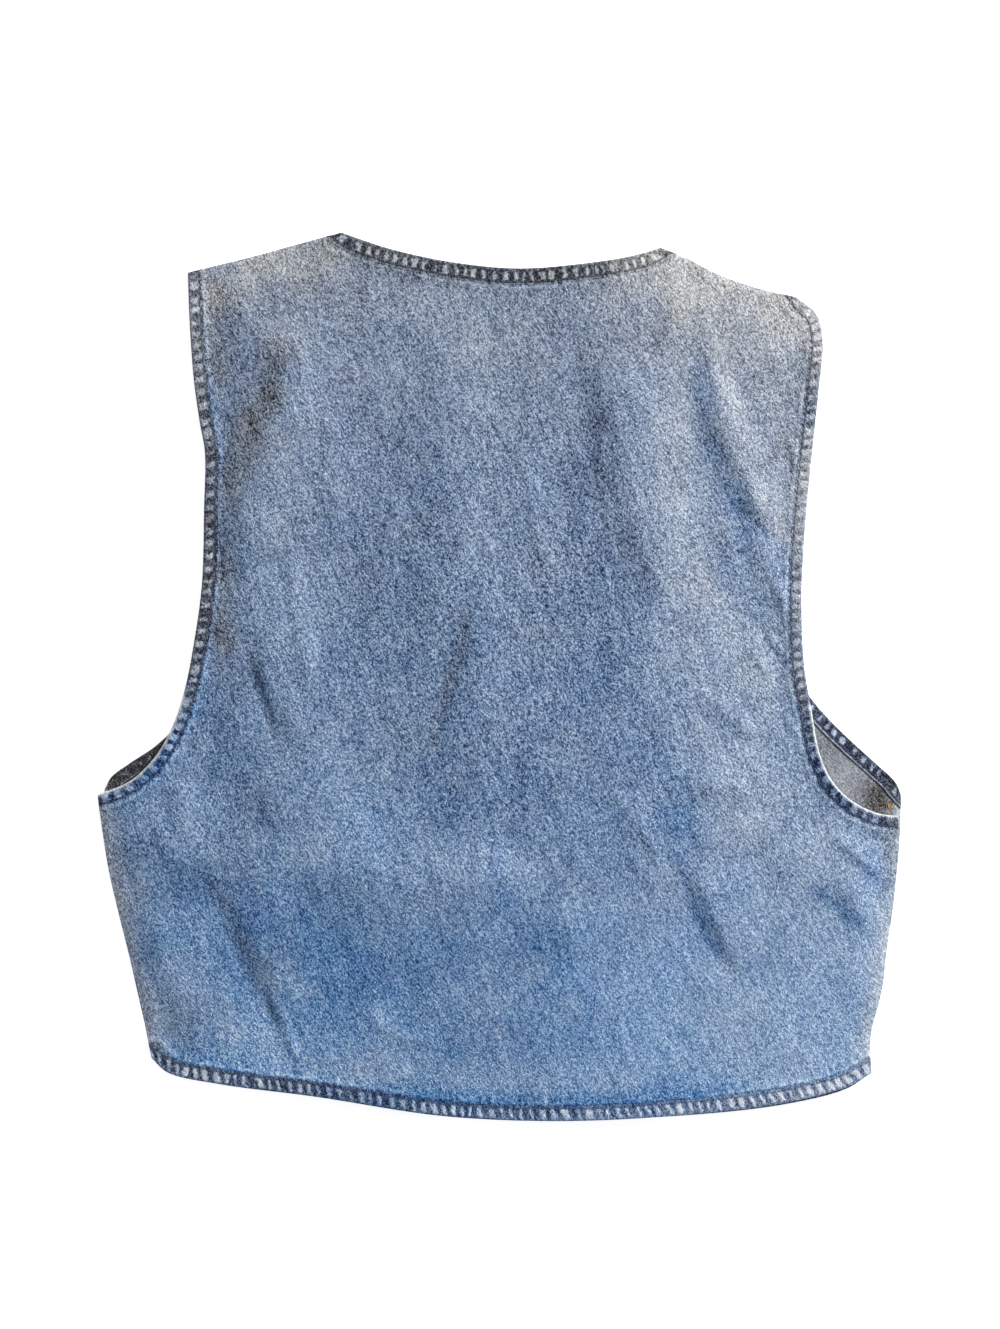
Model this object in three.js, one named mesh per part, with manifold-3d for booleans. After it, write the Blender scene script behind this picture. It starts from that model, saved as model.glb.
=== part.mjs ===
// A cropped denim vest, laid face down on a flat surface with its one-piece back on top.
// Two fronts lie under the back, lapped and buttoned at the centre, and every free edge is a
// narrow turned hem. Millimetres, +Z up, +Y towards the neck, +X the wearer's right.

import * as THREE from "three";
import { mergeVertices } from "three/addons/utils/BufferGeometryUtils.js";
import Module from "manifold-3d";

const wasm = await Module();
wasm.setup();

// Cloth
const CLOTH = 1.2; // one layer of denim
const HEM_THICK = 2.5; // three layers, turned and stitched
const GAP = 0.3; // between pieces that meet
const NECK_HEM = 10;
const ARMHOLE_HEM = 8;
const BOTTOM_HEM = 9.5;
const FRONT_HEM = 9;

// Front closure
const FRONT_CENTRE = 4; // x of the button line
const LAP = 14; // each front runs this far past the button line
const BUTTON_COUNT = 5;
const BUTTON_TOP = -8; // y of the highest button
const BUTTON_PITCH = 56;
const BUTTON_R = 7.5;
const BUTTON_HEAD = 2.6; // height of the head
const BUTTON_RECESS_R = 4.8;
const BUTTON_RECESS = 0.4;
const SHANK_R = 2.2;
const BUTTONHOLE_LENGTH = 17;
const BUTTONHOLE_WIDTH = 1.2;

// Heights of the layers above the surface the vest lies on
const SEAM_LIE = CLOTH + GAP; // underside of the back where it meets a front at a seam
const BACK_LIE = HEM_THICK + GAP; // underside of the back over a front's hem
const LAP_LIE = HEM_THICK + GAP; // underside of the left front above the right front
const BUTTON_LIE = BUTTON_HEAD + GAP; // underside of the right front over a button
const LAP_TOP = 44; // y just above the place where the two fronts' edges cross
const BUTTON_FOOT = 62; // how far from the button line the fronts come down from the buttons
const LAP_FOOT = 50; // how far from the right front's edge the left front comes down
const RIDGE_FLAT = 18; // half the width of the back's flat top over the lap
const RIDGE_FOOT = 150; // how far from the button line the back comes down from the lap
const RIDGE_END = 110; // how far above the lap each layer comes down
const SEAM_ROLL = 22; // width of the back's roll down to a seam
const BACK_AIR = 1.2; // how loosely the middle of the back lies on the fronts
const AIR_SPREAD = 60; // how far in from its outline the back lies that loosely

// Outlines, run anticlockwise seen from above, so that the cloth lies on the left of each.
const BACK_EDGES = {
  hem: [
    [-208.5, -229], [-199, -237.5], [-168, -244.5], [-110, -252], [-34, -263],
    [36, -266], [107, -263], [171, -255.5], [208, -246], [222.5, -238],
  ],
  sideRight: [
    [222.5, -238], [221.8, -226], [223, -212], [229, -189], [232, -164],
    [235.5, -140], [238, -116], [238.8, -98], [238.2, -83.8],
  ],
  armholeRight: [
    [238.2, -83.8], [226, -82], [210.5, -74.5], [198.7, -62.3], [191.6, -46.7],
    [186.4, -19.3], [182, 8], [180.6, 45], [182.5, 85], [186.6, 130],
    [190.8, 170], [193.5, 201.6], [189.5, 217], [177.6, 226.8],
  ],
  shoulderRight: [[177.6, 226.8], [158, 231.4], [132, 240.3], [111, 250.8], [96, 256.5]],
  neck: [
    [96, 256.5], [80.4, 252], [57, 248], [12, 244.2], [-27.6, 247.8],
    [-65.4, 255.8], [-94.8, 265.6],
  ],
  shoulderLeft: [[-94.8, 265.6], [-119.4, 259.4], [-147, 251.8], [-170, 246], [-187, 241.5]],
  armholeLeft: [
    [-187, 241.5], [-186, 213], [-183.5, 178], [-180, 152.5], [-176.8, 134],
    [-177.3, 100], [-178.6, 55], [-183, 22], [-189, -8.5], [-197.5, -33],
    [-208, -50], [-222, -63], [-241, -71],
  ],
  sideLeft: [
    [-241, -71], [-238.5, -92], [-234.5, -117], [-229, -141], [-223, -165],
    [-217, -189], [-212, -213], [-208.5, -229],
  ],
};

const RIGHT_EDGE_X = FRONT_CENTRE - LAP; // the right front's free edge
const LEFT_EDGE_X = FRONT_CENTRE + LAP; // the left front's free edge
const RIGHT_EDGES = {
  hem: [[RIGHT_EDGE_X, -264.3], [36, -266], [107, -263.8], [171, -256.8], [208, -247.4], [222, -238.4]],
  side: [
    [222, -238.4], [222.6, -212], [232, -164], [238.2, -116], [240, -92], [240.6, -71.4],
  ],
  armhole: [
    [240.6, -71.4], [237, -63.5], [226, -53], [210.4, -38.8], [195.5, -24],
    [183, -8], [172, 20], [166, 60], [166, 110], [171, 160], [177, 200], [177.6, 226.8],
  ],
  shoulder: BACK_EDGES.shoulderRight,
  front: [
    [96, 256.5], [76, 190], [46, 120], [12, 52], [RIGHT_EDGE_X + 1, 12],
    [RIGHT_EDGE_X, -30], [RIGHT_EDGE_X, -150], [RIGHT_EDGE_X, -264.3],
  ],
};
const LEFT_EDGES = {
  hem: [[-208, -229], [-198, -236.4], [-168, -243.2], [-110, -250.6], [-34, -261.6], [LEFT_EDGE_X, -264.4]],
  front: [
    [LEFT_EDGE_X, -264.4], [LEFT_EDGE_X, -150], [LEFT_EDGE_X, -30], [LEFT_EDGE_X - 1, 12],
    [-4, 56], [-40, 128], [-72, 198], [-94.8, 265.6],
  ],
  shoulder: BACK_EDGES.shoulderLeft,
  armhole: [
    [-187, 241.5], [-181, 208], [-173, 166], [-166, 118], [-164, 74], [-168, 34],
    [-178, 0], [-191, -26], [-205.3, -40.9], [-222, -52.2], [-233, -60.5], [-237, -68],
  ],
  side: [
    [-237, -68], [-237.5, -92], [-234, -117], [-223, -165], [-212, -213], [-208, -229],
  ],
};

// Soft folds of the back. Each path runs down or to the right. shade is the width of the flank on
// its lower or left side, lit that of the other flank, and rise the height, below 0 for a trough.
const FOLDS = [
  { path: [[-130, 202], [-137, 166], [-147, 118], [-154, 70], [-154, 46]], shade: 28, lit: 66, rise: 3.8 },
  { path: [[-143, 34], [-135, 4], [-123, -32], [-120, -50]], shade: 16, lit: 50, rise: 3 },
  { path: [[-143, -50], [-133, -74], [-124, -98]], shade: 18, lit: 50, rise: 1.4 },
  { path: [[-191, -56], [-188, -98]], shade: 16, lit: 22, rise: 1.4 },
  { path: [[-161, -128], [-145, -158], [-128, -194], [-117, -221]], shade: 16, lit: 60, rise: 3.2 },
  { path: [[-215, -137], [-202, -170], [-183, -212]], shade: 18, lit: 50, rise: 1.8 },
  { path: [[-8, 70], [-13, 34], [-25, -14], [-32, -44]], shade: 12, lit: 34, rise: 2 },
  { path: [[55, 208], [70, 154], [80, 106], [92, 62], [98, 36]], shade: 26, lit: 60, rise: 3 },
  { path: [[124, 190], [138, 142], [150, 112], [167, 82]], shade: 16, lit: 26, rise: 2.8 },
  { path: [[145, 94], [165, 61], [180, 22], [187, -8]], shade: 18, lit: 14, rise: 2.4 },
  { path: [[113, -108], [125, -136], [138, -164], [145, -180]], shade: 12, lit: 44, rise: 3.2 },
  { path: [[197, -115], [210, -131], [222, -155]], shade: 14, lit: 26, rise: 1.8 },
  { path: [[27, -137], [54, -167]], shade: 18, lit: 34, rise: 1.2 },
  { path: [[-130, -118], [-30, -126], [40, -112]], shade: 40, lit: 40, rise: 2.6 },
  { path: [[105, -62], [140, -66], [178, -76]], shade: 16, lit: 30, rise: 1.4 },
];
const FOLD_END = 0.32; // share of a fold's length over which each end fades
const FOLD_TIP = 0.3; // how narrow a fold is at its ends, against its middle
const FOLD_STEPS = 24; // straight steps that stand for a fold's path

// Counts of grid cells and of steps along the edges
const COLUMNS = { shoulder: 9, neck: 18 };
const ROWS = { side: 13, armhole: 28 };
const FRONT_COLUMNS = 13;
const FRONT_ROWS = { side: 9, armhole: 20 };
const LAP_ROWS = FRONT_ROWS.side + FRONT_ROWS.armhole;
const BUTTON_SIDES = 12;

const COLOUR = { denim: 0x7d90ae, hem: 0x66748f, inside: 0x9599a3, metal: 0x8a8178 };

const flat = (x, y) => new THREE.Vector2(x, y);
const smooth = (t) => {
  const s = Math.min(1, Math.max(0, t));
  return s * s * (3 - 2 * s);
};
const curveOf = (points) =>
  new THREE.CatmullRomCurve3(points.map(([x, y]) => new THREE.Vector3(x, y, 0)), false, "centripetal");

// A smooth outline edge with its length and, at a share of it, its point and inward normal.
function makeEdge(points) {
  const curve = curveOf(points);
  curve.arcLengthDivisions = 400;
  const length = curve.getLength();
  const within = (share) => Math.min(1, Math.max(0, share));
  const at = (share) => {
    const p = curve.getPointAt(within(share));
    return flat(p.x, p.y);
  };
  const tangent = (share) => {
    const t = curve.getTangentAt(within(share));
    return flat(t.x, t.y).normalize();
  };
  const inward = (share) => {
    const t = tangent(share);
    return flat(-t.y, t.x);
  };
  return { length, at, tangent, inward };
}

const edgesOf = (table) =>
  Object.fromEntries(Object.entries(table).map(([name, points]) => [name, makeEdge(points)]));
const back = edgesOf(BACK_EDGES);
const right = edgesOf(RIGHT_EDGES);
const left = edgesOf(LEFT_EDGES);

// Points along an edge and the direction across it. The cross direction turns to startAcross and
// endAcross at the ends, so that neighbouring pieces share a mitre. trimStart and trimEnd cut
// lengths off.
function runAlong(edge, steps, width, { startAcross, endAcross, trimStart = 0, trimEnd = 0 } = {}) {
  const from = trimStart / edge.length;
  const to = 1 - trimEnd / edge.length;
  const turn = 1.5 * width;
  return Array.from({ length: steps + 1 }, (_, i) => {
    const share = from + ((to - from) * i) / steps;
    const across = edge.inward(share);
    if (startAcross) across.lerp(startAcross, 1 - smooth(((share - from) * edge.length) / turn));
    if (endAcross) across.lerp(endAcross, 1 - smooth(((to - share) * edge.length) / turn));
    return { point: edge.at(share), across: across.normalize() };
  });
}
const inset = (stations, by) =>
  stations.map(({ point, across }) => point.clone().addScaledVector(across, by));
const seamPoints = (edge, steps, trimStart, trimEnd) =>
  inset(runAlong(edge, steps, 0, { trimStart, trimEnd }), 0);

// The run of each hem, its ends cut along the seam or the edge that it meets.
const down = (direction) => direction.clone().negate();
const HEM_CUT = BOTTOM_HEM + GAP;
const FRONT_CUT = FRONT_HEM + GAP;
const NECK_CUT = NECK_HEM + GAP;
const ARMHOLE_CUT = ARMHOLE_HEM + GAP;

const backRuns = {
  hem: runAlong(back.hem, 2 * COLUMNS.shoulder + COLUMNS.neck, BOTTOM_HEM, {
    startAcross: down(back.sideLeft.tangent(1)),
    endAcross: back.sideRight.tangent(0),
  }),
  armholeRight: runAlong(back.armholeRight, ROWS.armhole, ARMHOLE_HEM, {
    startAcross: down(back.sideRight.tangent(1)),
    endAcross: back.shoulderRight.tangent(0),
  }),
  neck: runAlong(back.neck, COLUMNS.neck, NECK_HEM, {
    startAcross: down(back.shoulderRight.tangent(1)),
    endAcross: back.shoulderLeft.tangent(0),
  }),
  armholeLeft: runAlong(back.armholeLeft, ROWS.armhole, ARMHOLE_HEM, {
    startAcross: down(back.shoulderLeft.tangent(1)),
    endAcross: back.sideLeft.tangent(0),
  }),
};
const rightRuns = {
  hem: runAlong(right.hem, FRONT_COLUMNS, BOTTOM_HEM, {
    startAcross: flat(0, 1),
    endAcross: right.side.tangent(0),
    trimStart: FRONT_CUT,
  }),
  armhole: runAlong(right.armhole, FRONT_ROWS.armhole, ARMHOLE_HEM, {
    startAcross: down(right.side.tangent(1)),
    endAcross: right.shoulder.tangent(0),
  }),
  front: runAlong(right.front, LAP_ROWS, FRONT_HEM, {
    startAcross: down(right.shoulder.tangent(1)),
    endAcross: right.hem.tangent(0),
    trimEnd: HEM_CUT,
  }),
};
const leftRuns = {
  hem: runAlong(left.hem, FRONT_COLUMNS, BOTTOM_HEM, {
    startAcross: down(left.side.tangent(1)),
    endAcross: flat(0, 1),
    trimEnd: FRONT_CUT,
  }),
  armhole: runAlong(left.armhole, FRONT_ROWS.armhole, ARMHOLE_HEM, {
    startAcross: down(left.shoulder.tangent(1)),
    endAcross: left.side.tangent(0),
  }),
  front: runAlong(left.front, LAP_ROWS, FRONT_HEM, {
    startAcross: down(left.hem.tangent(1)),
    endAcross: left.shoulder.tangent(0),
    trimStart: HEM_CUT,
  }),
};
// A bottom hem goes on to the free edge of its front.
const hemEnd = (edge, share) => ({ point: edge.at(share), across: edge.inward(share) });
const rightHemRun = [hemEnd(right.hem, 0), ...rightRuns.hem];
const leftHemRun = [...leftRuns.hem, hemEnd(left.hem, 1)];

// Heights

const buttonY = (i) => BUTTON_TOP - BUTTON_PITCH * i;
const lapHeld = (y) => 1 - smooth((y - LAP_TOP) / RIDGE_END);

// Underside of the right front: up on the button heads at the lap and flat elsewhere.
function rightFrontLie(x, y) {
  const past = Math.abs(x - FRONT_CENTRE) - LAP;
  const above = y - BUTTON_TOP - LAP;
  return BUTTON_LIE * (1 - smooth(past / (BUTTON_FOOT - LAP))) * (1 - smooth(above / RIDGE_END));
}

// Underside of the left front: over the right front at the lap, then down beside it.
function leftFrontLie(x, y) {
  const past = RIGHT_EDGE_X - 6 - x;
  return rightFrontLie(x, y) + LAP_LIE * (1 - smooth(past / LAP_FOOT)) * lapHeld(y);
}

// Distance from a place to a sampled line, with the share of its length and the side.
function nearestOnLine(x, y, line) {
  let best = { distance: Infinity, share: 0, side: 1 };
  for (let i = 0; i + 1 < line.length; i++) {
    const a = line[i];
    const run = line[i + 1].clone().sub(a);
    const t = Math.min(1, Math.max(0, flat(x, y).sub(a).dot(run) / run.lengthSq()));
    const offset = flat(x, y).sub(a.clone().addScaledVector(run, t));
    const distance = offset.length();
    if (distance < best.distance) {
      best = { distance, share: (i + t) / (line.length - 1), side: Math.sign(run.cross(offset)) };
    }
  }
  return best;
}

const foldLines = FOLDS.map((fold) => {
  const points = curveOf(fold.path).getSpacedPoints(FOLD_STEPS).map((p) => flat(p.x, p.y));
  return { ...fold, points };
});

function foldHeight(x, y) {
  let height = 0;
  for (const { points, shade, lit, rise } of foldLines) {
    const { distance, share, side } = nearestOnLine(x, y, points);
    const body = smooth(Math.min(share, 1 - share) / FOLD_END);
    const reach = distance / ((side < 0 ? shade : lit) * (FOLD_TIP + (1 - FOLD_TIP) * body));
    if (reach < 1) height += rise * body * (1 - reach * reach) ** 2;
  }
  return height;
}

// A height kept above 0 with a soft bend.
const softFloor = (height) => (height + Math.sqrt(height * height + 0.25)) / 2;

const SEAM_SAMPLES = 40;
const sampleEdge = (edge) => Array.from({ length: SEAM_SAMPLES + 1 }, (_, i) => edge.at(i / SEAM_SAMPLES));
const seams = [back.sideLeft, back.sideRight, back.shoulderLeft, back.shoulderRight].map(sampleEdge);
const backHems = [
  [back.hem, BOTTOM_HEM],
  [back.neck, NECK_HEM],
  [back.armholeLeft, ARMHOLE_HEM],
  [back.armholeRight, ARMHOLE_HEM],
].map(([edge, width]) => ({ line: sampleEdge(edge), width }));
const frontHems = [left, right].flatMap(({ hem, armhole, front }) => [
  { line: sampleEdge(hem), width: BOTTOM_HEM },
  { line: sampleEdge(armhole), width: ARMHOLE_HEM },
  { line: sampleEdge(front), width: FRONT_HEM },
]);
const distanceTo = (x, y, lines) => Math.min(...lines.map((line) => nearestOnLine(x, y, line).distance));
const toOutline = (x, y) => distanceTo(x, y, [...seams, ...backHems.map(({ line }) => line)]);
const toHems = (x, y, hems) =>
  Math.min(...hems.map(({ line, width }) => nearestOnLine(x, y, line).distance - width));

// Underside of the back, before it rolls down to its seams.
function backLie(x, y) {
  const away = Math.abs(x - FRONT_CENTRE);
  const ridge = 1 - smooth((away - RIDGE_FLAT) / (RIDGE_FOOT - RIDGE_FLAT));
  const lapHeight = BUTTON_LIE + LAP_LIE;
  const air = BACK_AIR * smooth(toOutline(x, y) / AIR_SPREAD);
  const lap = lapHeight * ridge * lapHeld(y);
  return BACK_LIE + lap + softFloor(air + foldHeight(x, y));
}

function backPanelLie(x, y) {
  const toSeam = distanceTo(x, y, seams);
  const toHem = toHems(x, y, [...backHems, ...frontHems]);
  const open = Math.max(smooth(toSeam / SEAM_ROLL), 1 - smooth(toHem / SEAM_ROLL));
  return SEAM_LIE + (backLie(x, y) - SEAM_LIE) * open;
}

// Solids

function geometryOf(positions, triangles) {
  const geometry = new THREE.BufferGeometry();
  geometry.setAttribute("position", new THREE.Float32BufferAttribute(positions, 3));
  geometry.setIndex(triangles);
  geometry.computeVertexNormals();
  return geometry;
}

// A cloth wall over a grid of places, rows from the hem up and columns from left to right.
function wallOverGrid(grid, lie, thickness) {
  const rows = grid.length;
  const columns = grid[0].length;
  const layer = rows * columns;
  const positions = [];
  for (const lift of [0, thickness]) {
    for (const row of grid) {
      for (const place of row) positions.push(place.x, place.y, lie(place.x, place.y) + lift);
    }
  }
  const id = (r, c, top) => top * layer + r * columns + c;
  const triangles = [];
  const quad = (a, b, c, d) => triangles.push(a, b, c, a, c, d);
  for (let r = 0; r + 1 < rows; r++) {
    for (let c = 0; c + 1 < columns; c++) {
      quad(id(r, c, 1), id(r, c + 1, 1), id(r + 1, c + 1, 1), id(r + 1, c, 1));
      quad(id(r, c, 0), id(r + 1, c, 0), id(r + 1, c + 1, 0), id(r, c + 1, 0));
    }
  }
  for (let c = 0; c + 1 < columns; c++) {
    quad(id(0, c, 0), id(0, c + 1, 0), id(0, c + 1, 1), id(0, c, 1));
    quad(id(rows - 1, c + 1, 0), id(rows - 1, c, 0), id(rows - 1, c, 1), id(rows - 1, c + 1, 1));
  }
  for (let r = 0; r + 1 < rows; r++) {
    quad(id(r + 1, 0, 0), id(r, 0, 0), id(r, 0, 1), id(r + 1, 0, 1));
    quad(id(r, columns - 1, 0), id(r + 1, columns - 1, 0), id(r + 1, columns - 1, 1), id(r, columns - 1, 1));
  }
  return geometryOf(positions, triangles);
}

// Places inside four boundary rows, blended from all of them. The bottom and top rows' ends are
// the corners.
function gridInside(bottom, top, leftSide, rightSide) {
  const rows = leftSide.length;
  const columns = bottom.length;
  [leftSide[0], leftSide[rows - 1]] = [bottom[0], top[0]];
  [rightSide[0], rightSide[rows - 1]] = [bottom[columns - 1], top[columns - 1]];
  const mix = (a, b, t) => a.clone().lerp(b, t);
  return Array.from({ length: rows }, (_, r) =>
    Array.from({ length: columns }, (_, c) => {
      const u = c / (columns - 1);
      const v = r / (rows - 1);
      const corners = mix(mix(bottom[0], bottom[columns - 1], u), mix(top[0], top[columns - 1], u), v);
      return mix(bottom[c], top[c], v).add(mix(leftSide[r], rightSide[r], u)).sub(corners);
    }),
  );
}

// A turned hem: a flattened section with a round fold, swept along its edge.
function hemStrip(stations, width, lie) {
  const section = [
    [0.7, 0], [0, 0.8], [0.2, 1.8], [1.8, HEM_THICK],
    [width - 1.6, HEM_THICK - 0.1], [width, HEM_THICK - 0.7], [width, 0],
  ];
  const count = section.length;
  const positions = [];
  for (const { point, across } of stations) {
    for (const [inward, height] of section) {
      const place = point.clone().addScaledVector(across, inward);
      positions.push(place.x, place.y, lie(place.x, place.y) + height);
    }
  }
  const triangles = [];
  for (let i = 0; i + 1 < stations.length; i++) {
    for (let k = 0; k < count; k++) {
      const a = i * count + k;
      const b = i * count + ((k + 1) % count);
      triangles.push(a, a + count, b, b, a + count, b + count);
    }
  }
  const end = (stations.length - 1) * count;
  for (let k = 1; k + 1 < count; k++) {
    triangles.push(0, k, k + 1);
    triangles.push(end, end + k + 1, end + k);
  }
  return geometryOf(positions, triangles);
}

function backGeometry() {
  const bottom = inset(backRuns.hem, HEM_CUT);
  const rightSide = [
    ...seamPoints(back.sideRight, ROWS.side, HEM_CUT, ARMHOLE_CUT),
    ...inset(backRuns.armholeRight, ARMHOLE_CUT).slice(1),
  ];
  const leftSide = [
    ...seamPoints(back.sideLeft, ROWS.side, ARMHOLE_CUT, HEM_CUT).reverse(),
    ...inset(backRuns.armholeLeft, ARMHOLE_CUT).reverse().slice(1),
  ];
  const top = [
    ...seamPoints(back.shoulderLeft, COLUMNS.shoulder, NECK_CUT, ARMHOLE_CUT).reverse(),
    ...inset(backRuns.neck, NECK_CUT).reverse().slice(1, -1),
    ...seamPoints(back.shoulderRight, COLUMNS.shoulder, ARMHOLE_CUT, NECK_CUT).reverse(),
  ];
  return wallOverGrid(gridInside(bottom, top, leftSide, rightSide), backPanelLie, CLOTH);
}

function rightFrontGeometry() {
  const bottom = inset(rightRuns.hem, HEM_CUT);
  const top = seamPoints(right.shoulder, FRONT_COLUMNS, ARMHOLE_CUT, FRONT_CUT).reverse();
  const free = inset(rightRuns.front, FRONT_CUT).reverse();
  const side = [
    ...seamPoints(right.side, FRONT_ROWS.side, HEM_CUT, ARMHOLE_CUT),
    ...inset(rightRuns.armhole, ARMHOLE_CUT).slice(1),
  ];
  return wallOverGrid(gridInside(bottom, top, free, side), rightFrontLie, CLOTH);
}

function leftFrontGeometry() {
  const bottom = inset(leftRuns.hem, HEM_CUT);
  const top = seamPoints(left.shoulder, FRONT_COLUMNS, FRONT_CUT, ARMHOLE_CUT).reverse();
  const free = inset(leftRuns.front, FRONT_CUT);
  const side = [
    ...seamPoints(left.side, FRONT_ROWS.side, ARMHOLE_CUT, HEM_CUT).reverse(),
    ...inset(leftRuns.armhole, ARMHOLE_CUT).reverse().slice(1),
  ];
  return wallOverGrid(gridInside(bottom, top, side, free), leftFrontLie, CLOTH);
}

// A plain metal button, its face down, with a stem through the buttonhole.
function buttonGeometry(stemTop) {
  const profile = [
    [0, BUTTON_RECESS], [BUTTON_RECESS_R - 0.5, BUTTON_RECESS], [BUTTON_RECESS_R, 0],
    [BUTTON_R - 0.9, 0], [BUTTON_R, 0.9], [BUTTON_R - 0.3, BUTTON_HEAD - 0.5], [BUTTON_R - 1, BUTTON_HEAD],
    [SHANK_R, BUTTON_HEAD], [SHANK_R, stemTop], [0, stemTop],
  ].map(([r, z]) => flat(r, z));
  const lathe = new THREE.LatheGeometry(profile, BUTTON_SIDES);
  lathe.rotateX(Math.PI / 2);
  return geometryFrom(solidOf(lathe));
}

function solidOf(geometry) {
  const bare = geometry.clone();
  bare.deleteAttribute("normal");
  bare.deleteAttribute("uv");
  const merged = mergeVertices(bare, 1e-3);
  return new wasm.Manifold(
    new wasm.Mesh({
      numProp: 3,
      vertProperties: merged.attributes.position.array,
      triVerts: new Uint32Array(merged.index.array),
    }),
  );
}

function geometryFrom(solid) {
  const mesh = solid.getMesh();
  return geometryOf(Array.from(mesh.vertProperties), Array.from(mesh.triVerts));
}

// The right front with a buttonhole cut through it for each button.
function cutButtonholes(geometry) {
  let cloth = solidOf(geometry);
  const depth = 20;
  for (let i = 0; i < BUTTON_COUNT; i++) {
    const slit = new THREE.BoxGeometry(BUTTONHOLE_LENGTH, BUTTONHOLE_WIDTH, depth);
    const eye = new THREE.CylinderGeometry(SHANK_R + GAP, SHANK_R + GAP, depth, BUTTON_SIDES);
    eye.rotateX(Math.PI / 2);
    const shiftSlit = BUTTONHOLE_LENGTH / 2 - SHANK_R;
    slit.translate(FRONT_CENTRE + shiftSlit, buttonY(i), 0);
    eye.translate(FRONT_CENTRE, buttonY(i), 0);
    cloth = cloth.subtract(solidOf(slit)).subtract(solidOf(eye));
  }
  return geometryFrom(cloth);
}

const vest = new THREE.Group();
vest.name = "denim_vest";

function add(name, geometry, colour, { roughness = 0.9, metalness = 0 } = {}) {
  const material = new THREE.MeshStandardMaterial({ color: colour, roughness, metalness });
  const mesh = new THREE.Mesh(geometry, material);
  mesh.name = name;
  vest.add(mesh);
  return mesh;
}

function addHem(name, run, width, lie) {
  add(name, hemStrip(run, width, lie), COLOUR.hem);
}

add("back_panel", backGeometry(), COLOUR.denim);
add("front_panel_left", leftFrontGeometry(), COLOUR.inside);
add("front_panel_right", cutButtonholes(rightFrontGeometry()), COLOUR.inside);

addHem("back_neck_hem", backRuns.neck, NECK_HEM, backLie);
addHem("back_hem", backRuns.hem, BOTTOM_HEM, backLie);
addHem("back_armhole_hem_left", backRuns.armholeLeft, ARMHOLE_HEM, backLie);
addHem("back_armhole_hem_right", backRuns.armholeRight, ARMHOLE_HEM, backLie);
addHem("front_hem_left", leftHemRun, BOTTOM_HEM, leftFrontLie);
addHem("front_hem_right", rightHemRun, BOTTOM_HEM, rightFrontLie);
addHem("front_armhole_hem_left", leftRuns.armhole, ARMHOLE_HEM, leftFrontLie);
addHem("front_armhole_hem_right", rightRuns.armhole, ARMHOLE_HEM, rightFrontLie);
addHem("front_edge_hem_left", leftRuns.front, FRONT_HEM, leftFrontLie);
addHem("front_edge_hem_right", rightRuns.front, FRONT_HEM, rightFrontLie);

for (let i = 0; i < BUTTON_COUNT; i++) {
  const stemTop = leftFrontLie(FRONT_CENTRE, buttonY(i)) - GAP;
  const geometry = buttonGeometry(stemTop);
  const button = add(`button_${i + 1}`, geometry, COLOUR.metal, { roughness: 0.4, metalness: 0.9 });
  button.position.set(FRONT_CENTRE, buttonY(i), 0);
}

export default vest;
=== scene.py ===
"""A cropped denim vest laid face down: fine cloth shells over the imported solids.

Lengths in the tables are millimetres in the part's frame, +X the wearer's right, +Y towards the
neck and +Z up. The meshes are made in metres.
"""

import math

import bpy
import numpy as np
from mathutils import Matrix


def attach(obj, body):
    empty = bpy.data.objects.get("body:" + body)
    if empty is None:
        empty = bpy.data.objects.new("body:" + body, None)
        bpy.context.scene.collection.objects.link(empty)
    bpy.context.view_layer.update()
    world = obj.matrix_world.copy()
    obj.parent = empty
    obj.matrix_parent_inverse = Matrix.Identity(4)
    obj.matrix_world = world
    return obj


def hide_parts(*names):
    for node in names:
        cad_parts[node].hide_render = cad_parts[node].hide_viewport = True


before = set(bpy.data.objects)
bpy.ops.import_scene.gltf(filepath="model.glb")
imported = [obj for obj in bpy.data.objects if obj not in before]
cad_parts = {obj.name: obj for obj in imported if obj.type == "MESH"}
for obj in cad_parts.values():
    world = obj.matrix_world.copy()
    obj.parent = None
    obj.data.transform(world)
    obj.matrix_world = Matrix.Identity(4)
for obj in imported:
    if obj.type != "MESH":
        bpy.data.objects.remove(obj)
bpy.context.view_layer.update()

MM = 0.001

# Cloth
CLOTH = 1.2
HEM_THICK = 2.5
GAP = 0.3
NECK_HEM = 10.0
ARMHOLE_HEM = 8.0
BOTTOM_HEM = 9.5
FRONT_HEM = 9.0

# Front closure
FRONT_CENTRE = 4.0
LAP = 14.0
BUTTON_COUNT = 5
BUTTON_TOP = -8.0
BUTTON_PITCH = 56.0
BUTTON_R = 7.5
BUTTON_HEAD = 2.6
SHANK_R = 2.2
BUTTONHOLE_LENGTH = 17.0

# Heights of the layers, as in the solids
SEAM_LIE = CLOTH + GAP
BACK_LIE = HEM_THICK + GAP
LAP_LIE = HEM_THICK + GAP
BUTTON_LIE = BUTTON_HEAD + GAP
LAP_TOP = 44.0
BUTTON_FOOT = 62.0
LAP_FOOT = 50.0
LAP_CLEAR = 6.0
RIDGE_FLAT = 18.0
RIDGE_FOOT = 150.0
RIDGE_END = 110.0
SEAM_ROLL = 22.0
BACK_AIR = 1.2
AIR_SPREAD = 60.0
AIR_ROUND = 0.25

RIGHT_EDGE_X = FRONT_CENTRE - LAP
LEFT_EDGE_X = FRONT_CENTRE + LAP

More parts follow.
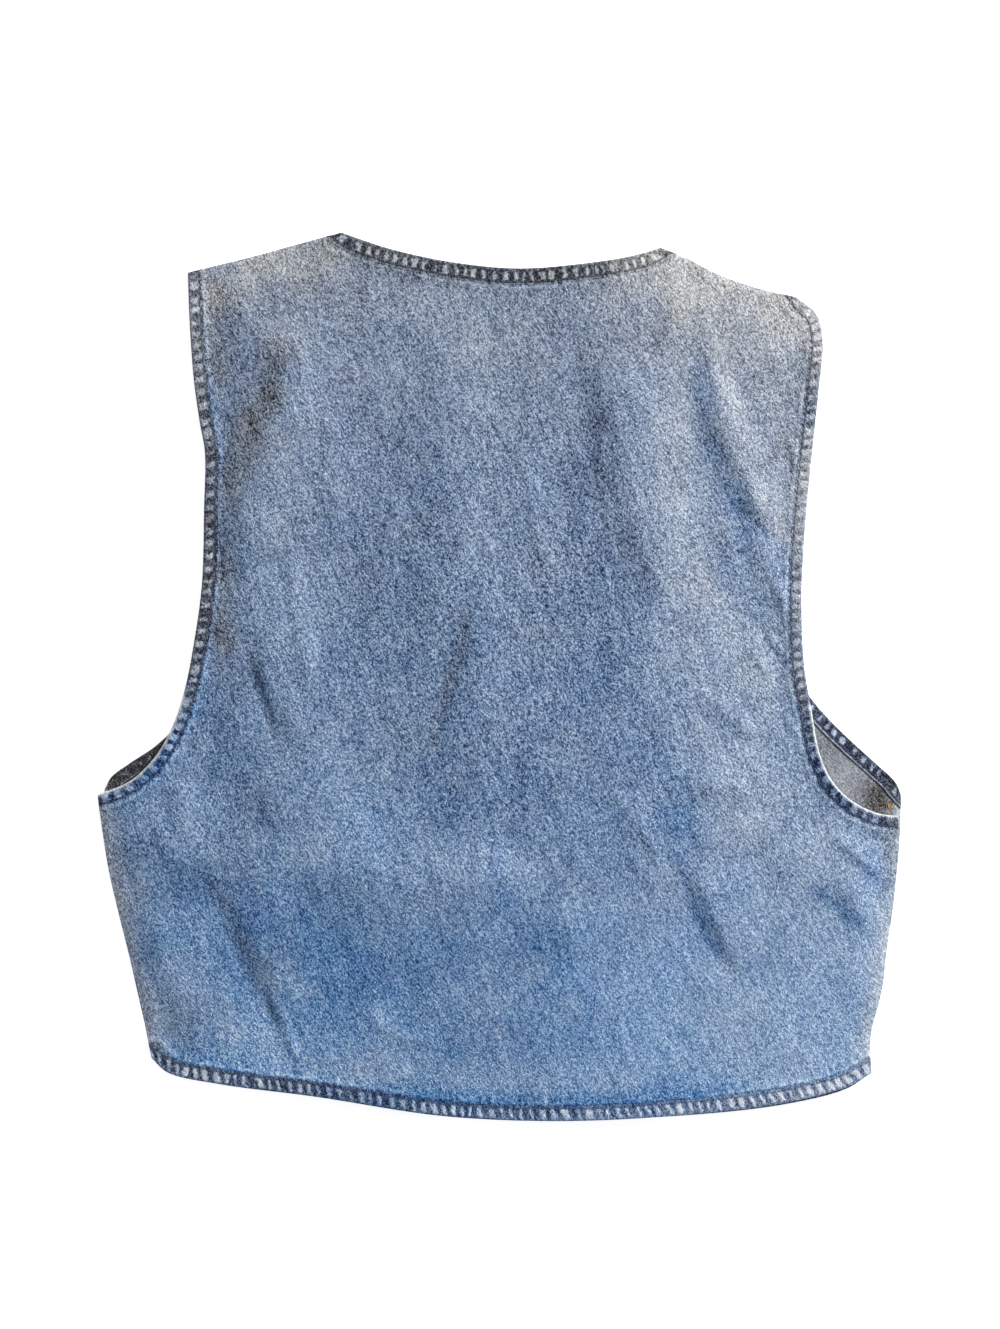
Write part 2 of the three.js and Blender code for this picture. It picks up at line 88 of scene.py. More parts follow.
# Outlines: each panel's edges in anticlockwise order seen from above, with the cloth on their left.
BACK_EDGES = {
    "hem": [
        (-208.5, -229), (-199, -237.5), (-168, -244.5), (-110, -252), (-34, -263),
        (36, -266), (107, -263), (171, -255.5), (208, -246), (222.5, -238),
    ],
    "side_right": [
        (222.5, -238), (221.8, -226), (223, -212), (229, -189), (232, -164),
        (235.5, -140), (238, -116), (238.8, -98), (238.2, -83.8),
    ],
    "armhole_right": [
        (238.2, -83.8), (226, -82), (210.5, -74.5), (198.7, -62.3), (191.6, -46.7),
        (186.4, -19.3), (182, 8), (180.6, 45), (182.5, 85), (186.6, 130),
        (190.8, 170), (193.5, 201.6), (189.5, 217), (177.6, 226.8),
    ],
    "shoulder_right": [(177.6, 226.8), (158, 231.4), (132, 240.3), (111, 250.8), (96, 256.5)],
    "neck": [
        (96, 256.5), (80.4, 252), (57, 248.0), (12, 244.2), (-27.6, 247.8),
        (-65.4, 255.8), (-94.8, 265.6),
    ],
    "shoulder_left": [(-94.8, 265.6), (-119.4, 259.4), (-147, 251.8), (-170, 246), (-187, 241.5)],
    "armhole_left": [
        (-187, 241.5), (-186, 213), (-183.5, 178), (-180, 152.5), (-176.8, 134),
        (-177.3, 100), (-178.6, 55), (-183, 22), (-189, -8.5), (-197.5, -33),
        (-208, -50), (-222, -63), (-241, -71),
    ],
    "side_left": [
        (-241, -71), (-238.5, -92), (-234.5, -117), (-229, -141), (-223, -165),
        (-217, -189), (-212, -213), (-208.5, -229),
    ],
}
RIGHT_EDGES = {
    "hem": [
        (RIGHT_EDGE_X, -264.3), (36, -266), (107, -263.8), (171, -256.8), (208, -247.4), (222, -238.4),
    ],
    "side": [(222, -238.4), (222.6, -212), (232, -164), (238.2, -116), (240, -92), (240.6, -71.4)],
    "armhole": [
        (240.6, -71.4), (237, -63.5), (226, -53), (210.4, -38.8), (195.5, -24),
        (183, -8), (172, 20), (166, 60), (166, 110), (171, 160), (177, 200), (177.6, 226.8),
    ],
    "shoulder": BACK_EDGES["shoulder_right"],
    "front": [
        (96, 256.5), (76, 190), (46, 120), (12, 52), (RIGHT_EDGE_X + 1, 12),
        (RIGHT_EDGE_X, -30), (RIGHT_EDGE_X, -150), (RIGHT_EDGE_X, -264.3),
    ],
}
LEFT_EDGES = {
    "hem": [
        (-208, -229), (-198, -236.4), (-168, -243.2), (-110, -250.6), (-34, -261.6), (LEFT_EDGE_X, -264.4),
    ],
    "front": [
        (LEFT_EDGE_X, -264.4), (LEFT_EDGE_X, -150), (LEFT_EDGE_X, -30), (LEFT_EDGE_X - 1, 12),
        (-4, 56), (-40, 128), (-72, 198), (-94.8, 265.6),
    ],
    "shoulder": BACK_EDGES["shoulder_left"],
    "armhole": [
        (-187, 241.5), (-181, 208), (-173, 166), (-166, 118), (-164, 74), (-168, 34),
        (-178, 0), (-191, -26), (-205.3, -40.9), (-222, -52.2), (-233, -60.5), (-237, -68),
    ],
    "side": [(-237, -68), (-237.5, -92), (-234, -117), (-223, -165), (-212, -213), (-208, -229)],
}

# Soft folds of the back: the path, which runs down or to the right, the width of the flank on its
# lower or left side, the width of the other flank, and the height.
FOLDS = [
    ([(-130, 202), (-137, 166), (-147, 118), (-154, 70), (-154, 46)], 28, 66, 3.8),
    ([(-143, 34), (-135, 4), (-123, -32), (-120, -50)], 16, 50, 3.0),
    ([(-143, -50), (-133, -74), (-124, -98)], 18, 50, 1.4),
    ([(-191, -56), (-188, -98)], 16, 22, 1.4),
    ([(-161, -128), (-145, -158), (-128, -194), (-117, -221)], 16, 60, 3.2),
    ([(-215, -137), (-202, -170), (-183, -212)], 18, 50, 1.8),
    ([(-8, 70), (-13, 34), (-25, -14), (-32, -44)], 12, 34, 2.0),
    ([(55, 208), (70, 154), (80, 106), (92, 62), (98, 36)], 26, 60, 3.0),
    ([(124, 190), (138, 142), (150, 112), (167, 82)], 16, 26, 2.8),
    ([(145, 94), (165, 61), (180, 22), (187, -8)], 18, 14, 2.4),
    ([(113, -108), (125, -136), (138, -164), (145, -180)], 12, 44, 3.2),
    ([(197, -115), (210, -131), (222, -155)], 14, 26, 1.8),
    ([(27, -137), (54, -167)], 18, 34, 1.2),
    ([(-130, -118), (-30, -126), (40, -112)], 40, 40, 2.6),
    ([(105, -62), (140, -66), (178, -76)], 16, 30, 1.4),
]
FOLD_END = 0.32  # share of a fold's length over which it rises
FOLD_TIP = 0.3  # how wide its flanks still are at the ends
FOLD_CRISP = 0.35  # how much of a fold is a sharper crest
CREST_TOP = 1.05
CREST_ROUND = 0.0025
FOLD_PLACES = 25

# Finer creases that only the cloth shells have, with the same columns.
CREASES = [
    ([(158, 27), (172, 8)], 4, 5, 0.7),
    ([(147, 20), (165, -8)], 4, 6, 0.6),
    ([(170, -24), (179, -38)], 3, 4, 0.7),
    ([(163, 60), (172, 34)], 5, 6, 0.8),
    ([(196, -93), (214, -108), (232, -122)], 6, 9, 1.0),
    ([(-150, 20), (-138, -12), (-132, -34)], 5, 9, 0.9),
    ([(-139, -184), (-130, -210), (-119, -236)], 4, 8, 1.1),
    ([(-127, 92), (-121, 40), (-112, -20)], 8, 12, 0.6),
    ([(-60, 128), (-70, 60), (-84, 0)], 9, 12, 0.5),
    ([(10, 150), (22, 90), (30, 30)], 9, 12, 0.5),
    ([(170, 150), (182, 118), (186, 98)], 5, 6, 1.0),
    ([(112, -6), (136, -22), (158, -44)], 8, 12, 0.7),
    ([(-206, -82), (-200, -110)], 5, 8, 0.8),
    ([(60, -60), (86, -92), (98, -120)], 9, 14, 0.7),
    ([(-88, -196), (-60, -214), (-30, -220)], 8, 10, 0.6),
]
CREASE_LIFT = 1.5

# Streaks of the washed cloth, and of painted shade and painted light along the folds and creases: the
# path, how far the streak spreads to either side, how much paler than the cloth it is, and how much bluer.
WASH_AND_PAINTED_LIGHT_STREAKS = [
    ([(-131, 194), (-147, 150), (-166, 110), (-171, 52), (-166, 22)], 12, -0.16, -0.44),
    ([(-166, 22), (-163, -20), (-156, -62), (-146, -80)], 12, -0.06, -0.05),
    ([(-131, 184), (-138, 164)], 9, -0.09, 0),
    ([(108, 222), (112, 186)], 9, 0.05, -0.12),
    ([(-60, 148), (-54, 100), (-77, 40)], 18, -0.04, 0),
    ([(54, 190), (61, 130), (72, 90), (84, 64)], 11, -0.06, 0),
    ([(116, 178), (124, 140), (136, 112), (158, 83), (174, 51), (183, 12)], 6, -0.09, 0.06),
    ([(-12, 52), (-29, -8), (-42, -56), (-36, -83)], 12, -0.05, 0.05),
    ([(-126, -142), (-76, -176), (-38, -178)], 26, -0.06, 0.07),
    ([(3, -131), (37, -173)], 10, -0.04, 0.1),
    ([(106, -108), (117, -138), (130, -166)], 4, -0.06, 0.15),
    ([(186, -128), (222, -153)], 4, -0.07, 0.1),
    ([(-20, 36), (-26, 8), (-36, -20), (-42, -44)], 4, -0.05, -0.22),
    ([(-144, 10), (-138, -14), (-131, -33)], 3.5, -0.07, 0.05),
    ([(-170, -126), (-153, -165), (-139, -197)], 4, -0.1, -0.25),
    ([(-15, 245), (-15, 60)], 16, 0.045, -0.03),
    ([(192, -128), (223, -156)], 7, -0.05, 0.1),
    ([(-216, -104), (-182, -118), (-158, -140)], 12, -0.09, 0),
    ([(-120, 232), (-125, 160), (-131, 94)], 20, 0.02, -0.1),
    ([(98, 150), (110, 82), (133, 38), (157, -8)], 14, 0.07, -0.16),
    ([(128, 210), (139, 165), (154, 120), (169, 84)], 7, 0.08, -0.2),
    ([(120, -38), (147, -80)], 24, 0.05, -0.2),
    ([(-114, -103), (-60, -107), (-12, -112), (36, -134)], 15, 0.05, 0),
    ([(-145, -194), (-133, -230)], 10, 0.07, 0.1),
    ([(-67, -200), (-53, -233)], 12, 0.04, 0),
    ([(90, -194), (120, -233)], 30, 0.05, 0),
    ([(216, -110), (228, -170), (223, -212)], 15, 0.07, -0.05),
    ([(102, 250), (148, 234), (186, 212)], 18, 0.07, -0.42),
    ([(-102, 256), (-144, 245), (-180, 232)], 18, 0.06, -0.45),
    ([(-176, 232), (-171, 184)], 12, 0, -0.3),
    ([(58, 60), (50, 36), (62, 10)], 16, -0.045, 0.04),
    ([(-170, 236), (-166, 170)], 14, -0.06, 0),
    ([(157, 29), (172, 9)], 2.0, -0.14, 0),
    ([(151, 39), (164, 28)], 2.0, -0.1, 0),
    ([(142, 39), (145, 22)], 2.0, -0.08, 0),
    ([(170, -30), (179, -41)], 1.8, 0.16, -0.1),
    ([(172, -28), (182, -40)], 1.6, -0.1, 0),
    ([(-188, -66), (-181, -104)], 10, 0.06, 0.05),
    ([(121, 184), (126, 150), (134, 118), (147, 84)], 9, -0.015, 0.24),
    ([(158, 190), (165, 150), (167, 120), (169, 88)], 11, 0.05, -0.12),
    ([(-108, -240), (-20, -244), (78, -242)], 16, 0.055, -0.12),
]

# Paler and darker places: x, y, how far the place spreads, how much paler it is, and how much bluer.
PALER_AND_DARKER_PLACES = [
    (162, 54, 13, 0.08, 0), (150, 84, 14, 0.07, 0), (162, 126, 12, -0.1, 0), (174, 224, 14, 0.08, 0),
    (146, 225, 18, 0.05, 0), (124, 166, 18, 0.06, 0), (136, 80, 12, -0.07, 0.05),
    (162, 84, 9, -0.08, 0), (-171, 236, 10, -0.06, 0.05), (-180, 202, 10, 0.07, 0),
    (-122, 202, 12, 0.1, 0), (-130, 222, 12, -0.06, 0), (-135, 60, 20, 0.11, 0),
    (-118, 36, 18, 0.06, 0), (108, 45, 20, 0.08, -0.1), (138, 28, 14, 0.05, -0.05),
    (166, 28, 12, 0.11, 0), (-45, 60, 20, -0.06, 0.05), (45, 118, 16, -0.05, 0.03),
    (-135, -30, 16, 0.1, 0), (-100, -60, 28, 0.09, 0.03), (-76, -88, 22, 0.05, 0.1),
    (10, -60, 34, -0.045, 0.08), (70, -30, 36, -0.03, 0), (170, -92, 24, 0.05, -0.05),
    (196, -112, 20, 0.07, -0.15), (226, -122, 12, -0.06, 0.1), (45, -122, 18, -0.05, 0),
    (105, -120, 16, 0.05, -0.1), (-135, -206, 34, 0.07, 0.15), (-105, -238, 30, 0.05, 0),
    (-165, -235, 24, 0.02, 0), (160, -205, 50, 0.08, -0.15), (196, -238, 26, 0.1, 0),
    (-15, -182, 18, 0.03, 0), (-200, -152, 26, 0.05, 0.1), (-208, -78, 24, 0.06, 0),
    (-222, -130, 30, 0, -0.2), (-166, 196, 20, -0.05, 0.1), (-132, 182, 18, 0, 0.25),
    (115, 236, 20, 0.05, -0.3), (75, 240, 16, 0.05, -0.3), (168, 205, 16, 0.06, 0),
    (75, 106, 18, 0.05, 0), (112, 6, 24, 0.045, -0.05), (150, -58, 22, 0.05, 0),
    (-105, 240, 18, -0.05, 0), (-194, -122, 16, -0.06, 0.1), (-78, -236, 18, 0.05, -0.08),
    (-165, -209, 18, 0.06, -0.18), (-135, -209, 14, 0.03, 0), (-75, -209, 16, 0.06, 0),
    (-198, -205, 22, 0.01, -0.38), (-195, -176, 18, 0.05, -0.1), (-75, -149, 18, 0.06, 0),
    (195, -149, 18, 0.06, 0), (225, -119, 14, -0.05, 0.15), (165, 31, 16, 0.06, 0),
    (105, -89, 18, -0.045, 0.14), (105, -50, 30, 0, 0.16), (60, 1, 24, -0.035, 0.14),
    (-165, 61, 16, -0.055, 0), (-165, 211, 14, -0.045, 0), (-135, 211, 14, 0.05, 0),
    (165, 121, 16, 0.02, 0), (-75, -104, 34, 0, 0.15), (-105, -104, 22, 0.06, 0),
    (-75, -122, 14, 0.03, 0), (-105, 61, 16, 0.05, 0), (-135, 31, 16, 0.045, 0), (-150, 1, 20, 0.04, 0),
    (-75, -29, 16, 0.05, 0), (-195, -59, 14, 0.045, 0), (-165, -59, 13, -0.045, 0.1),
    (-15, 1, 16, -0.04, 0), (-45, -149, 16, 0.045, 0), (225, -164, 18, 0.05, 0),
    (-198, -212, 13, -0.05, 0), (-135, -239, 16, 0.05, -0.12), (-75, -209, 14, 0.02, 0),
    (-135, -179, 18, 0, -0.26), (-105, -179, 16, 0, -0.1), (-15, -194, 26, 0.02, -0.18),
    (75, 160, 16, 0, 0.1), (105, 182, 14, 0.04, 0), (135, 182, 14, 0.03, 0), (137, 150, 13, 0.035, 0),
    (137, 121, 13, 0.035, -0.05), (140, 90, 13, 0.03, -0.1), (168, 182, 13, -0.04, 0.15),
    (165, 61, 14, 0.05, 0), (135, 61, 14, -0.035, 0.08), (165, -29, 14, 0.035, 0),
    (-195, -89, 14, 0.03, 0),
]


def smooth(t):
    s = np.clip(t, 0, 1)
    return s * s * (3 - 2 * s)


def dip(distance, width):
    return np.exp(-((distance / width) ** 2))


MOTTLE_TABLE = (97, 89)
MOTTLE_SHIFT = 500  # keeps the places positive


def mottle(x, y, size, seed):
    """Smooth uneven values from -1 to 1, with patches of about the given size."""
    table = np.random.default_rng(seed).uniform(-1, 1, MOTTLE_TABLE)
    gx, gy = (np.asarray(v) / size + MOTTLE_SHIFT for v in (x, y))
    ix, iy = np.floor(gx).astype(int), np.floor(gy).astype(int)
    fx, fy = smooth(gx - ix), smooth(gy - iy)

    def corner(a, b):
        return table[(ix + a) % MOTTLE_TABLE[0], (iy + b) % MOTTLE_TABLE[1]]

    low = corner(0, 0) * (1 - fx) + corner(1, 0) * fx
    high = corner(0, 1) * (1 - fx) + corner(1, 1) * fx
    return low * (1 - fy) + high * fy


def fade_and_painted_shade(x, y, places):
    """How much paler and bluer the cloth is near a few listed places: faded places, and darker places of
    painted shade.
    """
    paler, bluer = np.zeros(np.shape(x)), np.zeros(np.shape(x))
    for fx, fy, spread, pale, blue in places:
        near = dip(np.hypot(x - fx, y - fy), spread)
        paler, bluer = paler + pale * near, bluer + blue * near
    return paler, bluer


class Edge:
    """A smooth line through a few points, read by its share of the length."""

    STEPS = 24

    def __init__(self, points):
        p = np.array(points, float)
        ends = np.vstack([2 * p[0] - p[1], p, 2 * p[-1] - p[-2]])
        t = np.linspace(0, 1, self.STEPS, endpoint=False)[:, None]
        spans = []
        for a, b, c, d in zip(ends, ends[1:], ends[2:], ends[3:]):
            k1 = math.dist(a, b) ** 0.5
            k2 = k1 + math.dist(b, c) ** 0.5
            k3 = k2 + math.dist(c, d) ** 0.5
            s = k1 + t * (k2 - k1)
            ab = a + (b - a) * s / k1
            bc = b + (c - b) * (s - k1) / (k2 - k1)
            cd = c + (d - c) * (s - k2) / (k3 - k2)
            abc = ab + (bc - ab) * s / k2
            bcd = bc + (cd - bc) * (s - k1) / (k3 - k1)
            spans.append(abc + (bcd - abc) * (s - k1) / (k2 - k1))
        self.line = np.vstack([*spans, p[-1]])
        self.run = np.concatenate([[0], np.cumsum(np.hypot(*np.diff(self.line, axis=0).T))])
        self.length = self.run[-1]

    def at(self, share):
        s = np.clip(share, 0, 1) * self.length
        return np.stack([np.interp(s, self.run, self.line[:, k]) for k in (0, 1)], axis=-1)

    def tangent(self, share):
        step = 0.6 / self.length
        span = self.at(np.minimum(share + step, 1)) - self.at(np.maximum(share - step, 0))
        return span / np.linalg.norm(span, axis=-1, keepdims=True)

    def inward(self, share):
        along = self.tangent(share)
        return np.stack([-along[..., 1], along[..., 0]], axis=-1)


back = {name: Edge(points) for name, points in BACK_EDGES.items()}
right = {name: Edge(points) for name, points in RIGHT_EDGES.items()}
left = {name: Edge(points) for name, points in LEFT_EDGES.items()}


class Run:
    """Places along an edge and the direction across it, turned to a mitre at either end."""

    def __init__(self, edge, shares, width, start=None, end=None, trim_start=0.0, trim_end=0.0):
        first, last = trim_start / edge.length, 1 - trim_end / edge.length
        share = first + (last - first) * np.asarray(shares, float)
        across = edge.inward(share)
        for mitre, away in ((start, share - first), (end, last - share)):
            if mitre is not None:
                turn = 1 - smooth(away * edge.length / (1.5 * width))[:, None]
                across = across + (mitre - across) * turn
        self.across = across / np.linalg.norm(across, axis=1, keepdims=True)
        self.point = edge.at(share)
        self.along = share * edge.length

    def inset(self, by):
        return self.point + self.across * by


def nearest(x, y, line):
    """Distance from each place to a line, with the length run along it and the side."""
    best = np.full(np.shape(x), np.inf)
    along, side = np.zeros_like(best), np.ones_like(best)
    reached = 0.0
    for a, b in zip(line, line[1:]):
        run = b - a
        span = math.hypot(*run)
        if span == 0:
            continue
        t = np.clip(((x - a[0]) * run[0] + (y - a[1]) * run[1]) / span**2, 0, 1)
        ox, oy = x - a[0] - t * run[0], y - a[1] - t * run[1]
        away = np.hypot(ox, oy)
        closer = away < best
        best = np.where(closer, away, best)
        along = np.where(closer, reached + t * span, along)
        side = np.where(closer, np.sign(run[0] * oy - run[1] * ox), side)
        reached += span
    return best, along, side


def fold_height(x, y, folds):
    height = np.zeros(np.shape(x))
    for path, lower, upper, rise in folds:
        edge = Edge(path)
        away, along, side = nearest(x, y, edge.at(np.linspace(0, 1, FOLD_PLACES)))
        share = along / edge.length
        body = smooth(np.minimum(share, 1 - share) / FOLD_END)
        reach = away / (np.where(side < 0, lower, upper) * (FOLD_TIP + (1 - FOLD_TIP) * body))
        reach = np.minimum(reach, 1)
        crest = (CREST_TOP - np.sqrt(reach**2 + CREST_ROUND)) ** 2 * (1 - reach**2)
        height += rise * body * ((1 - FOLD_CRISP) * (1 - reach**2) ** 2 + FOLD_CRISP * crest)
    return height


def lap_held(y):
    return 1 - smooth((y - LAP_TOP) / RIDGE_END)


def right_lie(x, y):
    past = np.abs(x - FRONT_CENTRE) - LAP
    below_top = 1 - smooth((y - BUTTON_TOP - LAP) / RIDGE_END)
    return BUTTON_LIE * (1 - smooth(past / (BUTTON_FOOT - LAP))) * below_top


def left_lie(x, y):
    past = RIGHT_EDGE_X - LAP_CLEAR - x
    return right_lie(x, y) + LAP_LIE * (1 - smooth(past / LAP_FOOT)) * lap_held(y)


SAMPLES = np.linspace(0, 1, 61)
SEAMS = [back[k].at(SAMPLES) for k in ("side_left", "side_right", "shoulder_left", "shoulder_right")]
BACK_HEMS = [
    ("hem", BOTTOM_HEM), ("neck", NECK_HEM), ("armhole_left", ARMHOLE_HEM), ("armhole_right", ARMHOLE_HEM),
]
HEM_LINES = [(back[name].at(SAMPLES), width) for name, width in BACK_HEMS]
FRONT_LINES = [
    (front[name].at(SAMPLES), width)
    for front in (left, right)
    for name, width in (("hem", BOTTOM_HEM), ("armhole", ARMHOLE_HEM), ("front", FRONT_HEM))
]


def away_from(x, y, lines):
    return np.min([nearest(x, y, line)[0] for line in lines], axis=0)


def away_from_hems(x, y, hems):
    return np.min([nearest(x, y, line)[0] - width for line, width in hems], axis=0)


def back_lie(x, y):
    """Underside of the back, before it rolls down to its seams."""
    outline = away_from(x, y, SEAMS + [line for line, _ in HEM_LINES])
    ridge = 1 - smooth((np.abs(x - FRONT_CENTRE) - RIDGE_FLAT) / (RIDGE_FOOT - RIDGE_FLAT))
    loose = BACK_AIR * smooth(outline / AIR_SPREAD) + fold_height(x, y, FOLDS)
    soft = (loose + np.sqrt(loose**2 + AIR_ROUND)) / 2
    return BACK_LIE + (BUTTON_LIE + LAP_LIE) * ridge * lap_held(y) + soft


# Materials

# Tones from dark, 0, to pale, 1, and the colour of each
DENIM_TONES = [
    (0.0, (0.004, 0.004, 0.006)),
    (0.08, (0.014, 0.020, 0.044)),
    (0.25, (0.062, 0.098, 0.190)),
    (0.5, (0.185, 0.255, 0.390)),
    (0.75, (0.376, 0.480, 0.645)),
    (1.0, (0.700, 0.760, 0.845)),
]
ROPE_TONES = [
    (0.0, (0.004, 0.006, 0.020)),
    (0.08, (0.013, 0.025, 0.069)),
    (0.25, (0.058, 0.097, 0.195)),
    (0.5, (0.185, 0.255, 0.390)),
    (0.75, (0.390, 0.480, 0.640)),
    (1.0, (0.720, 0.760, 0.830)),
]
WRONG_TONES = [
    (0.0, (0.008, 0.007, 0.006)),
    (0.2, (0.085, 0.080, 0.078)),
    (0.5, (0.250, 0.265, 0.310)),
    (1.0, (0.600, 0.600, 0.620)),
]

# How far the fine flecks and the thick yarns lean, and how much each kind of unevenness shows
FLECK_LEAN = math.radians(-28)
YARN_LEAN = math.radians(-22)
WORM_SHARE = 0.42
SPECK_SHARE = 0.34
SLUB_SHARE = 0.32
CLOUD_SHARE = 0.14
HUE_DRIFT = 0.02
HUE_MIDDLE = 0.499
TWILL_SCALE = 230.0
TWILL_RELIEF = 0.25
CLOTH_BUMP = 0.0006
PLAIN_BUMP = 0.0002


def wire(tree, kind, inputs=None, **settings):
    """A new shader node, with its inputs set or linked."""
    node = tree.nodes.new("ShaderNode" + kind)
    for key, value in settings.items():
        setattr(node, key, value)
    for key, value in (inputs or {}).items():
        if isinstance(value, bpy.types.NodeSocket):
            tree.links.new(value, node.inputs[key])
        else:
            node.inputs[key].default_value = value
    return node


def combined(tree, operation, a, b):
    return wire(tree, "Math", {0: a, 1: b}, operation=operation).outputs[0]


def empty_material(name):
    """A material without nodes, its tree, and the place on the piece."""
    mat = bpy.data.materials.new(name)
    mat.use_nodes = True
    mat.node_tree.nodes.clear()
    return mat, mat.node_tree, wire(mat.node_tree, "TexCoord").outputs["Object"]


def cloth_material(name, tones, fleck, roughness):
    """Denim: tone, hue and strength of grain from the mesh, flecked at the scale of the yarns."""
    mat, tree, place = empty_material(name)
    tone, hue, strength = (
        wire(tree, "Attribute", attribute_name=key).outputs["Fac"] for key in ("tone", "hue", "grain")
    )
    fleck_place, yarn_place = (
        wire(tree, "Mapping", {"Vector": place, "Rotation": (0, 0, lean)}).outputs[0]
        for lean in (FLECK_LEAN, YARN_LEAN)
    )

    def noise(scale, detail, rough=0.6, distortion=0.0, along=place):
        stretched = wire(tree, "Mapping", {"Vector": along, "Scale": scale}).outputs[0]
        made = wire(tree, "TexNoise", {
            "Vector": stretched, "Scale": 1.0, "Detail": detail, "Roughness": rough, "Distortion": distortion,
        })
        return combined(tree, "SUBTRACT", made.outputs["Fac"], 0.5)

    def flecked(value, reach):
        made = wire(
            tree, "MapRange",
            {"Value": value, "From Min": -reach, "From Max": reach, "To Min": -0.5, "To Max": 0.5},
            interpolation_type="SMOOTHSTEP",
        )
        return made.outputs["Result"]

    def share(value, amount):
        return combined(tree, "MULTIPLY", value, amount)

    def added(a, b):
        return combined(tree, "ADD", a, b)

    worms = flecked(noise((900, 520, 500), 2.0, 0.65, 0.8, fleck_place), 0.14)
    specks = flecked(noise((1700, 1200, 1200), 1.0, 0.6, 0.4, fleck_place), 0.16)
    slubs = noise((300, 48, 200), 1.0, along=yarn_place)
    clouds = noise((58, 30, 60), 3.0, along=yarn_place)
    grain = added(share(worms, WORM_SHARE * fleck), share(specks, SPECK_SHARE))
    grain = added(grain, share(slubs, SLUB_SHARE * fleck))
    grain = added(grain, share(clouds, CLOUD_SHARE))
    level = added(tone, share(grain, strength))
    ramp = wire(tree, "ValToRGB", {"Fac": level})
    elements = ramp.color_ramp.elements
    while len(elements) < len(tones):
        elements.new(0.5)
    for element, (position, colour) in zip(elements, tones):
        element.position = position
        element.color = (*colour, 1)
    drift = added(share(noise((70, 70, 70), 2.0), HUE_DRIFT), HUE_MIDDLE)
    tint = wire(tree, "HueSaturation", {
        "Hue": drift, "Saturation": hue, "Color": ramp.outputs["Color"],
    })
    twill = wire(
        tree, "TexWave",
        {"Vector": place, "Scale": TWILL_SCALE, "Distortion": 1.5, "Detail": 1.0},
        wave_type="BANDS", bands_direction="DIAGONAL",
    )
    relief = added(share(twill.outputs["Fac"], TWILL_RELIEF), worms)
    bump = wire(tree, "Bump", {"Height": relief, "Strength": 0.5, "Distance": CLOTH_BUMP})
    shader = wire(tree, "BsdfPrincipled", {
        "Base Color": tint.outputs["Color"], "Roughness": roughness, "Normal": bump.outputs["Normal"],
        "Specular IOR Level": 0.2, "Sheen Weight": 0.08, "Sheen Roughness": 0.5,
    })
    wire(tree, "OutputMaterial", {0: shader.outputs[0]})
    return mat


def plain_material(name, colour, roughness, metallic=0.0, rough_scale=900.0):
    """One colour with a fine uneven tone and bump."""
    mat, tree, place = empty_material(name)
    noise = wire(tree, "TexNoise", {"Vector": place, "Scale": rough_scale, "Detail": 3.0})
    ramp = wire(tree, "ValToRGB", {"Fac": noise.outputs["Fac"]})
    for element, position, change in zip(ramp.color_ramp.elements, (0.3, 0.7), (0.7, 1.25)):
        element.position = position
        element.color = (*[min(1, c * change) for c in colour], 1)
    bump = wire(tree, "Bump", {"Height": noise.outputs["Fac"], "Strength": 0.3, "Distance": PLAIN_BUMP})
    shader = wire(tree, "BsdfPrincipled", {
        "Base Color": ramp.outputs["Color"], "Roughness": roughness, "Metallic": metallic,
        "Normal": bump.outputs["Normal"],
    })
    wire(tree, "OutputMaterial", {0: shader.outputs[0]})
    return mat


denim = cloth_material("denim_face", DENIM_TONES, 1.0, 0.9)
wrong_side = cloth_material("denim_wrong_side", WRONG_TONES, 0.5, 0.92)
roped = cloth_material("denim_roped_hem", ROPE_TONES, 0.8, 0.88)
thread = plain_material("blue_thread", (0.060, 0.080, 0.150), 0.7)
orange = plain_material("orange_thread", (0.62, 0.32, 0.07), 0.7)
metal = plain_material("dulled_metal", (0.33, 0.29, 0.24), 0.42, 1.0, 300.0)


# Meshes


def mesh_piece(name, places, faces, materials, face_materials=None, tone=None, hue=None, grain=None):
    mesh = bpy.data.meshes.new(name)
    mesh.from_pydata((np.asarray(places) * MM).tolist(), [], [tuple(map(int, f)) for f in faces])
    for material in materials:
        mesh.materials.append(material)
    if face_materials is not None:
        mesh.polygons.foreach_set("material_index", np.asarray(face_materials, np.int32))
    mesh.polygons.foreach_set("use_smooth", np.ones(len(mesh.polygons), bool))
    if grain is None and tone is not None:
        grain = np.ones(len(places))
    for key, values in (("tone", tone), ("hue", hue), ("grain", grain)):
        if values is not None:
            layer = mesh.attributes.new(key, "FLOAT", "POINT")
            layer.data.foreach_set("value", np.asarray(values, np.float32).ravel())
    mesh.update()
    obj = bpy.data.objects.new(name, mesh)
    bpy.context.scene.collection.objects.link(obj)
    return obj


def shell(name, grid, low, high, materials, tone, hue, grain=None):
    """A closed cloth wall over a grid of places. tone and hue are pairs: of the top and below."""
    rows, columns = grid.shape[:2]
    layer = rows * columns
    places = np.vstack([np.dstack([grid, z]).reshape(-1, 3) for z in (low, high)])
    r, c = np.meshgrid(np.arange(rows - 1), np.arange(columns - 1), indexing="ij")
    a = (r * columns + c).ravel()
    quads = np.stack([a, a + 1, a + 1 + columns, a + columns], axis=1)
    rim = np.concatenate([
        np.arange(columns), (np.arange(1, rows) + 1) * columns - 1,
        (rows - 1) * columns + np.arange(columns - 2, -1, -1), np.arange(rows - 2, 0, -1) * columns,
    ])
    after = np.roll(rim, -1)
    sides = np.stack([rim, after, after + layer, rim + layer], axis=1)
    faces = np.vstack([quads[:, ::-1], quads + layer, sides])
    kinds = np.repeat([1, 0, 0], [len(quads), len(quads), len(sides)])
    return mesh_piece(
        name, places, faces, materials, kinds,
        np.concatenate([tone[1].ravel(), tone[0].ravel()]), np.concatenate([hue[1].ravel(), hue[0].ravel()]),
        None if grain is None else np.tile(grain.ravel(), 2),
    )


